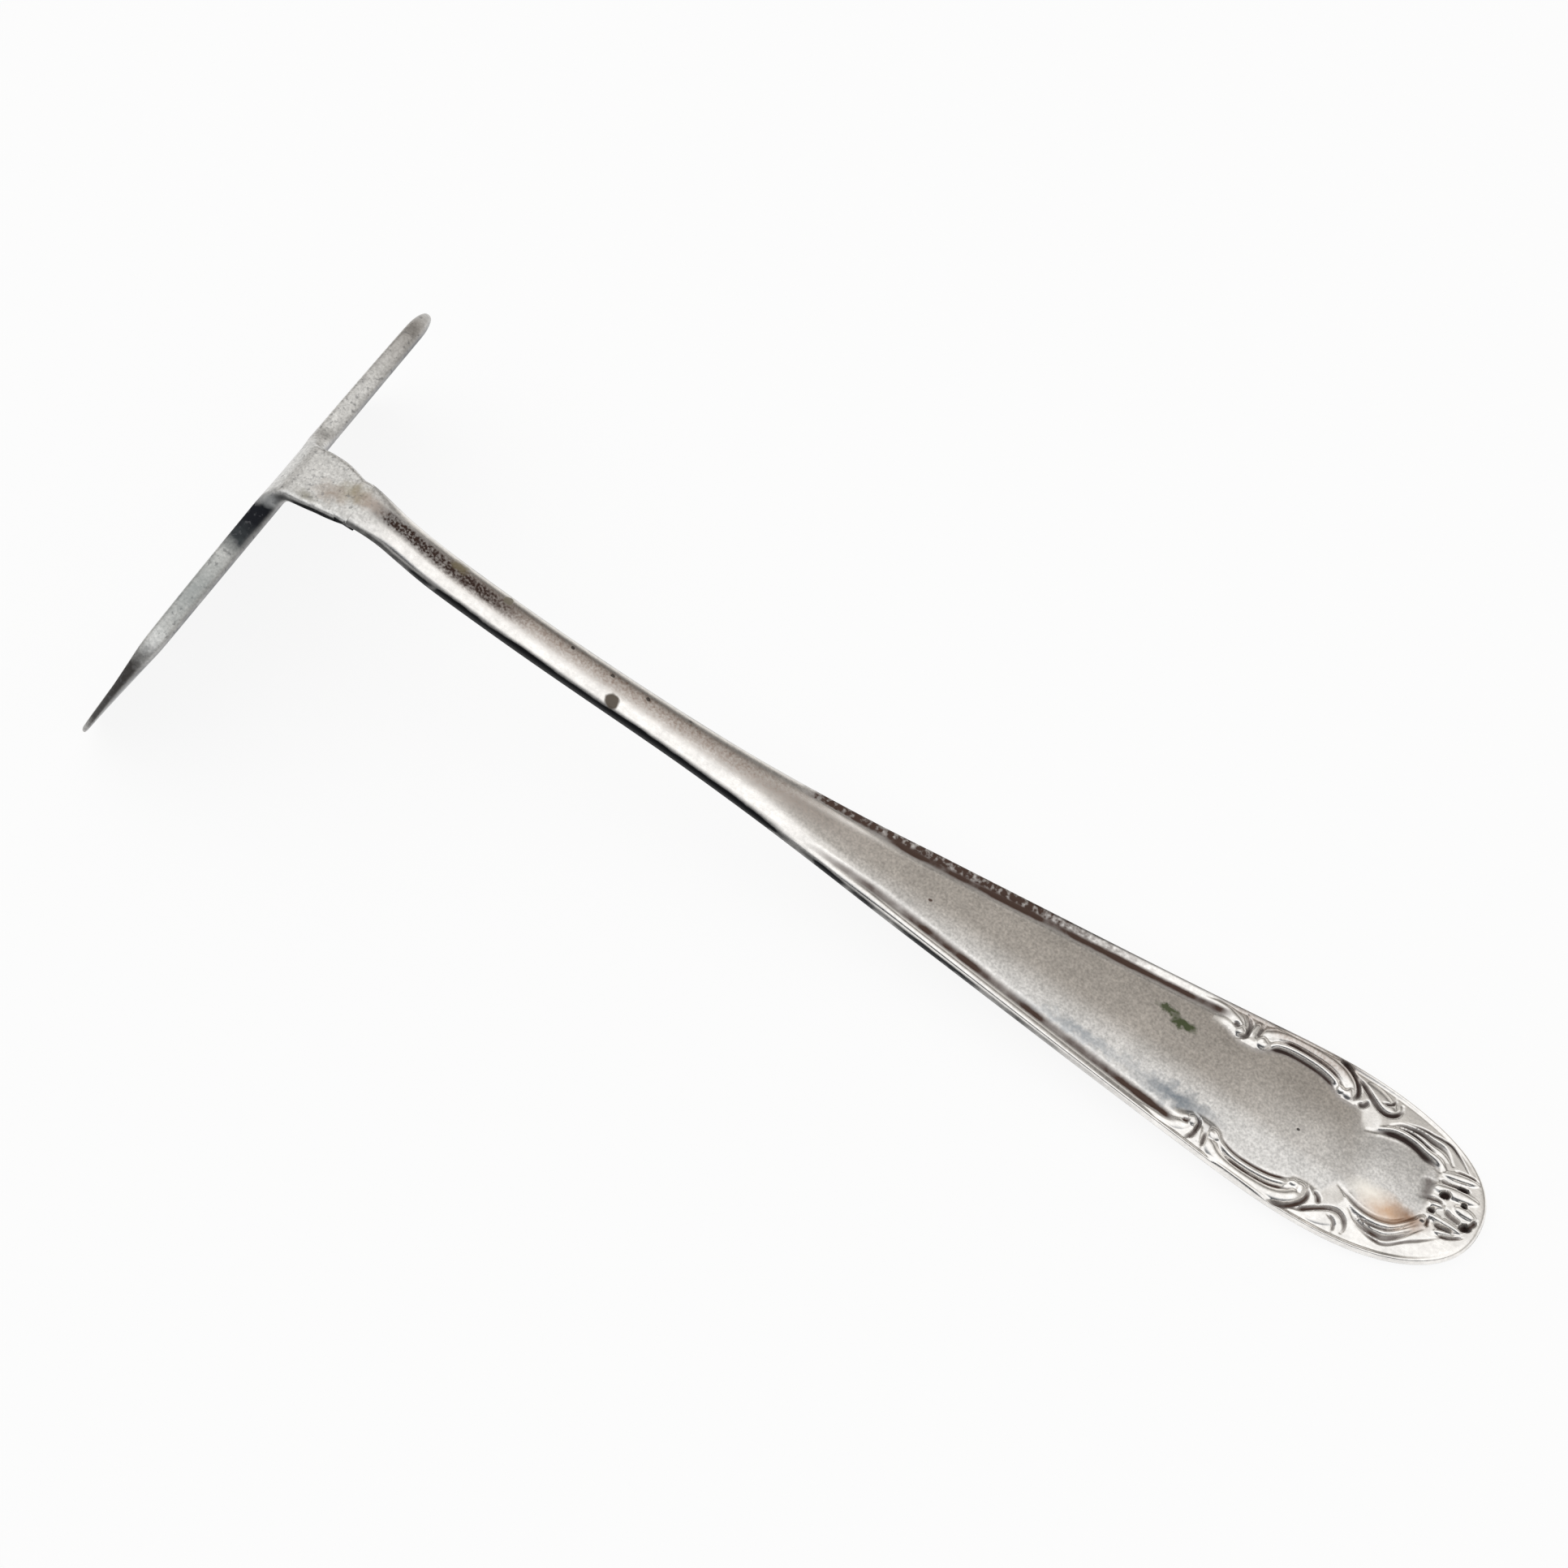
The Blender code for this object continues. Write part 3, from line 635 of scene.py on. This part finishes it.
def foldBlade(flat, bottom):
    # Across, along and out from the sheet's middle to the bent blade
    b = bladeForm
    half, shoulder = b["sheet"] / 2, b["shoulderDrop"]
    bend, midRadius, tangent = bendOf(b)
    sheetMid = handleForm["neckTop"] - half
    across, along = flat[:, 0], flat[:, 1]
    outwards = 2 * across / b["width"]
    thinning = b["thinned"] * np.clip((along - shoulder) / (bottom - shoulder), 0, 1)
    inner = np.maximum(-flat[:, 2], 0) / half
    out = flat[:, 2] + inner * (thinning - b["upset"] * ease(*b["upsetStart"], along))
    outer = np.maximum(flat[:, 2], 0) / half
    swollen = between((b["swellStart"], shoulder, shoulder, b["swellEnd"]), along)
    out += outer * b["swell"] * swollen * (1 - b["swellLost"] * outwards ** 2)
    out *= 1 - b["endThinned"] * ease(b["endStart"], b["width"] / 2, np.abs(across))
    out -= b["bow"] * outwards ** 2
    fromStart = along + tangent
    turn = np.clip(fromStart / (2 * tangent), 0, 1) * bend
    radius = midRadius + out
    straight = np.minimum(fromStart, 0) + np.maximum(fromStart - 2 * tangent, 0)
    x = tangent - radius * np.sin(turn) - straight * np.cos(turn)
    z = sheetMid - midRadius + radius * np.cos(turn) - straight * np.sin(turn)
    across = across + neckShift(np.maximum(-along, 0))
    return np.stack([x * mm + bendX, across * mm, z * mm], 1)


def makeBlade():
    b = bladeForm
    half = b["sheet"] / 2
    outline, bottom = bladeOutline()
    ahead = np.roll(outline, -1, 0) - outline
    ahead /= np.linalg.norm(ahead, axis=1)[:, None]
    facing = np.stack([-ahead[:, 1], ahead[:, 0]], 1)
    behind = np.roll(facing, 1, 0)
    inward = (facing + behind) / (1 + (facing * behind).sum(1))[:, None]  # mitred, to keep its width
    turns = np.radians(np.linspace(90, 0, b["rimSteps"]))
    rim = [(b["rimRound"] * (1 - math.cos(t)), half - b["rimRound"] * (1 - math.sin(t))) for t in turns]
    rim = [(b["rimRound"] + b["rimMargin"], half)] + rim
    rim += [(into, -out) for into, out in reversed(rim)]
    piece, spot, ring = addGrid("bentBlade", len(outline), len(rim) - 1)
    spot = spot % len(outline)
    into, out = np.array(rim)[ring].T
    setPlaces(piece, np.column_stack([outline[spot] + into[:, None] * inward[spot], out]))
    editAll()
    bpy.ops.mesh.remove_doubles(threshold=b["flatWeld"])
    bpy.ops.mesh.fill_holes(sides=0)
    tangent = bendOf(b)[2]
    rows = [tangent * (2 * i / b["bendSteps"] - 1) for i in range(b["bendSteps"] + 1)]
    rows += list(np.arange(2 * b["rowStep"], bottom - b["footClear"], b["rowStep"]))
    strips = [b["width"] * (i / b["strips"] - 0.5) for i in range(1, b["strips"])]
    clear = b["neckWidth"] / 2 + b["neckFillet"]  # the neck's sides stay uncut
    cuts = [((0, along, 0), (0, 1, 0)) for along in rows]
    cuts += [((across, 0, 0), (1, 0, 0)) for across in strips if across == 0 or abs(across) > clear]
    for place, way in cuts:
        bpy.ops.mesh.select_all(action="SELECT")
        bpy.ops.mesh.bisect(plane_co=place, plane_no=way, threshold=b["flatWeld"])
    bpy.ops.object.mode_set(mode="OBJECT")
    flat = readPlaces(piece).astype(float)
    setPlaces(piece, foldBlade(flat, bottom))
    across, along, out = flat.T
    onNeck = (1 - ease(*b["neckShadeAlong"], along)) * (1 - ease(*b["neckShadeAcross"], -across))
    edgeOn = 1 - ease(half - b["rimRound"], half, np.abs(out))
    # painted dark reflection on the blade's inner face
    setMark(piece, "under", ease(0, -half, out) * (1 - edgeOn))
    # painted dark reflection on the neck's near edge
    setMark(piece, "flankShade", b["neckShadeMost"] * edgeOn * onNeck * ease(*b["neckShadeSide"], across))
    editAll()
    bpy.ops.mesh.bisect(plane_co=(0, 0, 0), plane_no=(0, 0, -1), clear_outer=True, use_fill=True,
                        threshold=b["groundWeld"])
    bpy.ops.mesh.select_all(action="SELECT")
    bpy.ops.mesh.remove_doubles(threshold=tiny)
    closeMesh(b["smoothAngle"])
    return piece


# Solder: a film in the lap, turned up flush between the sheet's end and the handle
seamForm = {
    "front": 2.3, "lipStart": 5.05, "lipEnd": 6.4,
    "filmLow": 20.5, "filmHigh": 21.15, "lipTop": 22.29,
    "width": 2.6, "lipWidth": 4.26, "lipBase": 3.3,
    "baseRise": 0.1,  # the lip widens to its base over this height
    "round": 0.4, "roundSteps": 8,
    "sheetSide": 0.95, "handleSide": 0.46,  # height of the lip's upright sides at its two ends
    "lipShadeSpan": (0.08, 0.3),  # painted black shade on the near side below this
    "sameHeight": 0.02,
    "smoothAngle": 40,
}


def makeSeam():
    s = seamForm
    lipStart = s["lipStart"] * mm + bendX
    middle = ((s["front"] + s["lipEnd"]) / 2 * mm + bendX, 0, (s["filmLow"] + s["filmHigh"]) / 2 * mm)
    startAlone()
    bpy.ops.mesh.primitive_cube_add(size=1, location=middle)
    piece = nameNew("solderBand")
    piece.scale = ((s["lipEnd"] - s["front"]) * mm, s["width"] * mm, (s["filmHigh"] - s["filmLow"]) * mm)
    bpy.ops.object.transform_apply(location=True, rotation=True, scale=True)
    editAll()
    bpy.ops.mesh.bisect(plane_co=(lipStart, 0, 0), plane_no=(1, 0, 0), threshold=tiny)
    bpy.ops.mesh.select_all(action="DESELECT")
    bpy.ops.object.mode_set(mode="OBJECT")
    for face in piece.data.polygons:
        face.select = face.normal.z > 0.9 and face.center.x > lipStart
    bpy.ops.object.mode_set(mode="EDIT")
    bpy.ops.mesh.select_mode(type="FACE")
    half = (s["lipTop"] - s["filmHigh"] - s["baseRise"]) / 2
    widths = [s["width"], s["lipBase"], s["lipWidth"], s["lipWidth"]]
    for rise, before, after in zip((s["baseRise"], half, half), widths, widths[1:]):
        bpy.ops.mesh.extrude_region_move(TRANSFORM_OT_translate={"value": (0, 0, rise * mm)})
        bpy.ops.transform.resize(value=(1, after / before, 1))
    bpy.ops.mesh.select_mode(type="EDGE")
    bpy.ops.mesh.select_all(action="DESELECT")
    bpy.ops.object.mode_set(mode="OBJECT")
    corners = piece.data.vertices
    topLevel = (s["lipTop"] - s["sameHeight"]) * mm
    for edge in piece.data.edges:
        a, c = (corners[i].co for i in edge.vertices)
        edge.select = min(a.z, c.z) > topLevel and abs(a.x - c.x) > s["round"] * mm
    bpy.ops.object.mode_set(mode="EDIT")
    bpy.ops.mesh.bevel(offset=s["round"] * mm, segments=s["roundSteps"], affect="EDGES", clamp_overlap=True)
    closeMesh(s["smoothAngle"])

    place = readPlaces(piece)
    x = (place[:, 0] - bendX) / mm
    past = (x - s["lipStart"]) / (s["lipEnd"] - s["lipStart"])
    side = blend(s["sheetSide"], s["handleSide"], past)
    ring = np.abs(place[:, 2] / mm - s["filmHigh"] - s["baseRise"] - half) < s["sameHeight"]
    place[ring, 2] = (s["lipTop"] - side[ring]) * mm
    # painted shade: the lip's near side black below its top
    low = ease(*(s["lipTop"] - down for down in s["lipShadeSpan"]), place[:, 2] / mm)
    setMark(piece, "flankShade", low * (place[:, 1] < 0))
    place[:, 1] += neckShift(x) * mm
    setPlaces(piece, place)
    return piece


# Old silver plate on nickel silver: bright where it is rubbed, with a painted highlight on the near side,
# satin on the panel, brown and black sulphide in the cuts, black painted shade in the far cuts, painted
# dark reflection on the flanks and painted shade on the undersides, grey specks on the neck and blade. One
# pattern runs over all pieces
plateFinish = {
    "bright": "#f3f0ec",
    "neck": "#ecebe8",
    "satin": "#bfb8b0",
    # rubbed silver, also the painted highlight on the near side
    "rubbedAndLit": "#ebe9e6",
    # brown film, also the painted shade along the far border
    "film": "#866e5e",
    "streak": "#3a2922",
    "brown": "#4f3d35",
    # black of the painted dark reflection and shade on the flanks
    "shadeBlack": "#0c0d10",
    # dark of the palmette's pits and of the painted shade in the far cuts
    "pitAndShadeColour": "#362a27",
    "speck": "#67676a",
    # colour of the painted shade on the undersides
    "under": "#a8a39c",
    "polish": 0.17, "satinRough": 0.36, "grainRough": 0.12, "dullRough": 0.3,
    "dullMetal": 0.12,  # metallic share left under tarnish
    "satinDark": 0.7,  # the grain's dark shade where the silver is satin
    "speckShare": 0.3, "speckRange": (0.6, 0.68),
    "bump": 0.25, "bumpMm": 0.02, "specular": 0.15,
}
# the sheet's darker underside colour is a painted dark reflection on the blade's inner face
sheetFinish = {**plateFinish, "bright": "#dcdcd9", "under": "#8c8c8e", "polish": 0.36, "speckShare": 0.5}
solderFinish = {**sheetFinish, "bright": "#dad7ca"}  # hard solder, a little yellower
# Size in millimetres and detail. Real grain and hair scratches are finer, and are drawn this coarse to show
platePattern = {"grain": (0.22, 2.0), "coarse": (0.5, 3.0), "mottle": (3.5, 5.0), "fleck": (0.45, 4.0),
                "speck": (0.4, 3.0), "ragged": (0.7, 3.0), "scratch": (0.12, 1.0)}
scratchWay = {"turn": 7, "stretch": 0.02}
# pattern: the low and high end that is used, and how dark and light the silver is there
plateShade = {"grain": (0.3, 0.7, 0.95, 1.08), "coarse": (0.3, 0.7, 0.9, 1.06),
              "mottle": (0.3, 0.7, 0.88, 1.05), "scratch": (0.66, 0.74, 1.0, 1.12)}
# Tarnish and painted shade. mark: pattern that breaks it up, their product where cover starts and is full,
# colour, whether it dulls
tarnishAndShade = {
    "under": ("mottle", 0.1, 0.6, "under", False),
    "film": ("grain", 0.04, 0.85, "film", False),
    "streak": ("grain", 0.05, 0.55, "streak", True),
    "farRim": ("fleck", 0.14, 0.52, "brown", True),
    # brown patina in the cuts, also painted shade at the far scrolls' foot and the lobe's end
    "grimeAndShade": ("mottle", 0.06, 0.5, "brown", True),
    # black in the pits, also painted shade in the far cuts
    "pitsAndShade": ("mottle", 0.08, 0.4, "pitAndShadeColour", True),
    # painted dark reflection and shade on the flanks, black
    "flankShade": ("mottle", 0.06, 0.4, "shadeBlack", True),
}
neckRange = (6.4, 10.0)  # where the dull neck fades into the bright stem
stainEdge = {"haze": 0.1, "blotch": 0.5, "dot": 0.75}  # share of the way out where the cover is still full
stainDulls = 0.8  # stains with more cover than this dull the metal
# name: kind, place from the bend line, half sizes, colour, cover, how ragged the outline is, in millimetres
plateStainsAndLight = {
    "neckOlive": ("haze", (5.4, 0.3), (1.7, 1.2), "#97875c", 0.6, 0.9),
    "neckBrown": ("haze", (3.9, -0.6), (1.9, 1.1), "#9c8570", 0.6, 0.9),
    "neckWarm": ("haze", (6.9, 0.2), (1.9, 1.0), "#94755c", 0.5, 0.7),
    "nearEdge": ("haze", (2.3, -1.9), (1.3, 0.6), "#7c7660", 0.6, 0.5),
    # painted shade in the near strip's fillet
    "stripShade": ("blotch", (-0.6, -5.6), (4.0, 3.3), "#1c1e24", 1.0, 0.5),
    # painted highlight: a glint at the fillet
    "stripHighlight": ("haze", (0.0, -3.3), (3.0, 0.5), "#c9cbcb", 0.6, 0.3),
    "stripNear": ("haze", (-1.0, -13.0), (5.0, 8.0), "#8b9494", 0.6, 1.6),
    "stripFar": ("haze", (-1.0, 18.0), (5.0, 7.0), "#918a83", 0.6, 1.2),
    "stripBrown": ("blotch", (-4.0, -21.6), (6.0, 3.6), "#2f2b29", 0.95, 0.8),
    "oliveBlotch": ("blotch", (14.7, 0.95), (0.9, 0.6), "#7d735c", 0.9, 0.35),
    "oliveDot": ("dot", (19.2, 1.05), (0.5, 0.42), "#7b7465", 0.9, 0.2),
    "brownSpot": ("dot", (30.3, -1.05), (0.72, 0.64), "#5a5044", 0.95, 0.15),
    "pitA": ("haze", (36.3, 1.3), (0.4, 0.22), "#2d2724", 0.8, 0.3),
    "pitB": ("dot", (32.6, 0.8), (0.26, 0.18), "#2d2724", 0.8, 0.2),
    "pitC": ("dot", (29.2, 0.8), (0.24, 0.16), "#2d2724", 0.8, 0.2),
    "pitD": ("dot", (25.4, 0.85), (0.2, 0.15), "#2d2724", 0.8, 0.2),
    "panelDot": ("dot", (94.0, -0.4), (0.16, 0.14), "#2d2724", 0.85, 0.05),
    "panelFleck": ("dot", (60.0, -0.4), (0.17, 0.14), "#4a2f25", 0.85, 0.1),
    "greenLeft": ("blotch", (80.7, 2.65), (1.3, 0.42), "#46502f", 0.9, 0.8),
    "greenRight": ("blotch", (82.3, 2.2), (1.35, 0.6), "#465030", 0.95, 0.7),
    "blueStart": ("haze", (75.5, -3.2), (6.5, 0.75), "#8e969e", 0.6, 0.9),
    "blueEnd": ("haze", (84.4, -3.5), (5.0, 1.2), "#66717c", 0.8, 1.1),
    "lobeCopper": ("haze", (103.0, -2.5), (3.0, 1.5), "#cfa884", 0.8, 0.4),
    # painted highlight along the lobe's near edge
    "lobeHighlight": ("haze", (101.0, -1.9), (2.2, 1.1), "#fbf6ec", 0.8, 0.4),
    "lobeBrown": ("haze", (104.8, -2.2), (1.9, 1.0), "#855f40", 0.8, 0.4),
}


def agedSilver(name, f):
    material = bpy.data.materials.new(name)
    material.use_nodes = True
    tree = material.node_tree
    shader = tree.nodes["Principled BSDF"]
    tint = {key: toLinear(value) for key, value in f.items() if isinstance(value, str)}
    spot = addNode(tree, "TexCoord", out="Object")
    mark = {}
    for key in (*tarnishAndShade, "matte", "rubbedAndLit"):
        mark[key] = addNode(tree, "Attribute", out="Fac", attribute_name=key)
    turn, thin = math.radians(scratchWay["turn"]), scratchWay["stretch"]
    combed = addNode(tree, "Mapping", {0: spot, "Rotation": (0, 0, turn), "Scale": (thin, 1, 1)})
    noise = {}
    for key, (size, detail) in platePattern.items():
        way = combed if key == "scratch" else spot
        noise[key] = addNode(tree, "TexNoise", {"Vector": way, "Scale": perMm(size), "Detail": detail})
    threeWays = noise["ragged"].node.outputs["Color"]
    swing = addNode(tree, "VectorMath", {0: threeWays, 1: (0.5, 0.5, 0.5)}, operation="SUBTRACT")
    along = addNode(tree, "SeparateXYZ", {0: spot}, out="X")
    neckFull, neckEnd = (x * mm + bendX for x in neckRange)
    onNeck = addNode(tree, "MapRange", {0: along, 1: neckEnd, 2: neckFull})

    # Silver itself: satin panel, rubbed lighter and with a painted highlight on the near side, with grain,
    # mottling and hair scratches
    panel = addNode(tree, "Mix", {0: mark["rubbedAndLit"], 6: tint["satin"], 7: tint["rubbedAndLit"]}, out=2,
                    data_type="RGBA")
    silver = addNode(tree, "Mix", {0: mark["matte"], 6: tint["bright"], 7: panel}, out=2, data_type="RGBA")
    silver = addNode(tree, "Mix", {0: onNeck, 6: silver, 7: tint["neck"]}, out=2, data_type="RGBA")
    satin = addNode(tree, "Math", {0: mark["matte"], 1: onNeck}, operation="MAXIMUM")
    shade = 1.0
    for key, (low, high, dark, light) in plateShade.items():
        if key == "grain":
            dark = addNode(tree, "MapRange", {0: satin, 3: dark, 4: f["satinDark"]})
        part = addNode(tree, "MapRange", {0: noise[key], 1: low, 2: high, 3: dark, 4: light})
        shade = addNode(tree, "Math", {0: shade, 1: part}, operation="MULTIPLY")
    colour = addNode(tree, "Mix", {0: 1.0, 6: silver, 7: shade}, out=2, data_type="RGBA",
                     blend_type="MULTIPLY")

    # Tarnish and painted shade, kind over kind
    dull = 0.0
    for key, (kind, low, high, hue, dulls) in tarnishAndShade.items():
        cover = addNode(tree, "Math", {0: mark[key], 1: noise[kind]}, operation="MULTIPLY")
        cover = addNode(tree, "MapRange", {0: cover, 1: low, 2: high})
        colour = addNode(tree, "Mix", {0: cover, 6: colour, 7: tint[hue]}, out=2, data_type="RGBA")
        if dulls:
            dull = addNode(tree, "Math", {0: dull, 1: cover}, operation="MAXIMUM")

    # Stains, painted highlights and painted shade, kept off the underside
    plain, plainDull = colour, dull
    for kind, place, sizes, stain, strength, ragged in plateStainsAndLight.values():
        sway = (2 * ragged * mm,) * 3
        wander = addNode(tree, "VectorMath", {0: swing, 1: sway, 2: spot}, operation="MULTIPLY_ADD")
        scale = (*map(perMm, sizes), 0.0)
        centre = (-(place[0] * mm + bendX) * scale[0], -place[1] * mm * scale[1], 0.0)
        local = addNode(tree, "VectorMath", {0: wander, 1: scale, 2: centre}, operation="MULTIPLY_ADD")
        away = addNode(tree, "VectorMath", {0: local}, out="Value", operation="LENGTH")
        cover = addNode(tree, "MapRange", {0: away, 1: 1.0, 2: stainEdge[kind], 4: strength})
        colour = addNode(tree, "Mix", {0: cover, 6: colour, 7: toLinear(stain)}, out=2, data_type="RGBA")
        if strength > stainDulls:
            dull = addNode(tree, "Math", {0: dull, 1: cover}, operation="MAXIMUM")
    colour = addNode(tree, "Mix", {0: mark["under"], 6: colour, 7: plain}, out=2, data_type="RGBA")
    dull = addNode(tree, "Mix", {0: mark["under"], 2: dull, 3: plainDull})

    # Specks where the plate has gone, on the neck and blade
    low, high = f["speckRange"]
    speck = addNode(tree, "MapRange", {0: noise["speck"], 1: low, 2: high, 4: f["speckShare"]})
    speck = addNode(tree, "Math", {0: speck, 1: onNeck}, operation="MULTIPLY")
    colour = addNode(tree, "Mix", {0: speck, 6: colour, 7: tint["speck"]}, out=2, data_type="RGBA")

    grain = noise["grain"]
    rough = addNode(tree, "MapRange", {0: satin, 3: f["polish"], 4: f["satinRough"]})
    for source, more in ((grain, f["grainRough"]), (dull, f["dullRough"])):
        rough = addNode(tree, "Math", {0: source, 1: more, 2: rough}, operation="MULTIPLY_ADD")
    metal = addNode(tree, "MapRange", {0: dull, 3: 1.0, 4: f["dullMetal"]})
    bump = addNode(tree, "Bump", {"Height": grain, "Strength": f["bump"], "Distance": f["bumpMm"] * mm})
    ends = {"Base Color": colour, "Roughness": rough, "Metallic": metal, "Normal": bump}
    for socket, source in ends.items():
        tree.links.new(source, shader.inputs[socket])
    shader.inputs["Specular IOR Level"].default_value = f["specular"]
    return material


# Studio: a white table and a broad soft light. Degrees from the far horizon over the top to the near one
studio = {
    "skyStops": [(0, "#e6e4e1"), (14, "#cfccc8"), (27, "#6b6967"), (37, "#75726f"), (48, "#bcb9b5"),
                 (62, "#d8d6d3"), (77, "#ffffff"), (128, "#ffffff"), (140, "#a3a6ab"), (150, "#303236"),
                 (166, "#303236"), (174, "#c6c6c6"), (180, "#d6d5d3")],
    "sidesColour": "#b9b7b4", "sidesRange": (0.7, 0.97), "strength": 1.15,
    "tableHalf": 30.0,  # metres
    "tableDrop": 0.02,
    "tableColour": "#ffffff",
    "tableGlow": 0.88,  # how white it looks, apart from its shading
}


def makeStudio():
    s = studio
    world = bpy.data.worlds.new("softStudio")
    bpy.context.scene.world = world
    world.use_nodes = True
    tree = world.node_tree
    way = addNode(tree, "TexCoord", out="Generated")
    parts = addNode(tree, "SeparateXYZ", {0: way}).node.outputs
    turn = addNode(tree, "Math", {0: parts["Z"], 1: parts["Y"]}, operation="ARCTAN2")
    share = addNode(tree, "Math", {0: turn, 1: math.pi}, operation="DIVIDE")
    sky = addNode(tree, "ValToRGB", {0: share})
    stops = sky.node.color_ramp.elements
    while len(stops) < len(s["skyStops"]):
        stops.new(0.5)
    for stop, (angle, colour) in zip(stops, s["skyStops"]):
        stop.position = angle / 180
        stop.color = toLinear(colour)
    sideways = addNode(tree, "Math", {0: parts["X"]}, operation="ABSOLUTE")
    low, high = s["sidesRange"]
    atSides = addNode(tree, "MapRange", {0: sideways, 1: low, 2: high}, interpolation_type="SMOOTHSTEP")
    sides = toLinear(s["sidesColour"])
    room = addNode(tree, "Mix", {0: atSides, 6: sky, 7: sides}, out=2, data_type="RGBA")
    tree.links.new(room, tree.nodes["Background"].inputs["Color"])
    tree.nodes["Background"].inputs["Strength"].default_value = s["strength"]

    startAlone()
    bpy.ops.mesh.primitive_plane_add(size=2 * s["tableHalf"], location=(0, 0, -s["tableDrop"] * mm))
    table = nameNew("paleTable")
    paint = bpy.data.materials.new("white_table")
    paint.use_nodes = True
    tree = paint.node_tree
    tree.nodes.remove(tree.nodes["Principled BSDF"])
    ray = addNode(tree, "LightPath").node.outputs
    seen = ray["Is Camera Ray"]
    for kind in ("Is Glossy Ray", "Is Transmission Ray"):
        seen = addNode(tree, "Math", {0: seen, 1: ray[kind]}, operation="MAXIMUM")
    white = addNode(tree, "Emission", {"Color": (1, 1, 1, 1), "Strength": 1.0})
    cloth = addNode(tree, "BsdfDiffuse", {"Color": toLinear(s["tableColour"])})
    glow = addNode(tree, "Math", {0: seen, 1: s["tableGlow"]}, operation="MULTIPLY")
    mixed = addNode(tree, "MixShader", {0: glow, 1: cloth, 2: white})
    tree.links.new(mixed, tree.nodes["Material Output"].inputs["Surface"])
    table.data.materials.append(paint)


# Camera: the photograph's angle, 1932 x 1932. Focal length in its pixels
cameraForm = {"place": (38.188, -82.019, 188.475), "look": (-0.2095, 0.41383, -0.88592),
              "up": (-0.46292, 0.75608, 0.46265), "focal": 3056.05, "imageWidth": 1932, "sensor": 36.0,
              "clipStart": 10.0}


def makeCamera():
    c = cameraForm
    data = bpy.data.cameras.new("photoCamera")
    camera = bpy.data.objects.new("photoCamera", data)
    bpy.context.scene.collection.objects.link(camera)
    back = -Vector(c["look"]).normalized()
    right = Vector(c["up"]).cross(back).normalized()
    facing = Matrix((right, back.cross(right), back)).transposed().to_4x4()
    camera.matrix_world = Matrix.Translation(Vector(c["place"]) * mm) @ facing
    data.sensor_width = c["sensor"]
    data.lens = c["sensor"] * c["focal"] / c["imageWidth"]
    data.clip_start = c["clipStart"] * mm
    bpy.context.scene.camera = camera


bpy.context.scene.view_settings.view_transform = "Standard"
makeCamera()
makeStudio()
print("camera and studio ready")
pieces = [(makeHandle, "silver_plate_struck", plateFinish, "handle", "handle_plate"),
          (makeBlade, "silver_plate_sheet", sheetFinish, "pusher_blade", "blade_plate"),
          (makeSeam, "hard_solder_band", solderFinish, "solder_seam", "hard_solder")]
for make, finishName, finish, node, slot in pieces:
    piece = make()
    finishPiece(piece, agedSilver(finishName, finish), node)
    print(piece.name + ":", len(piece.data.polygons), "faces")

bpy.context.view_layer.update()
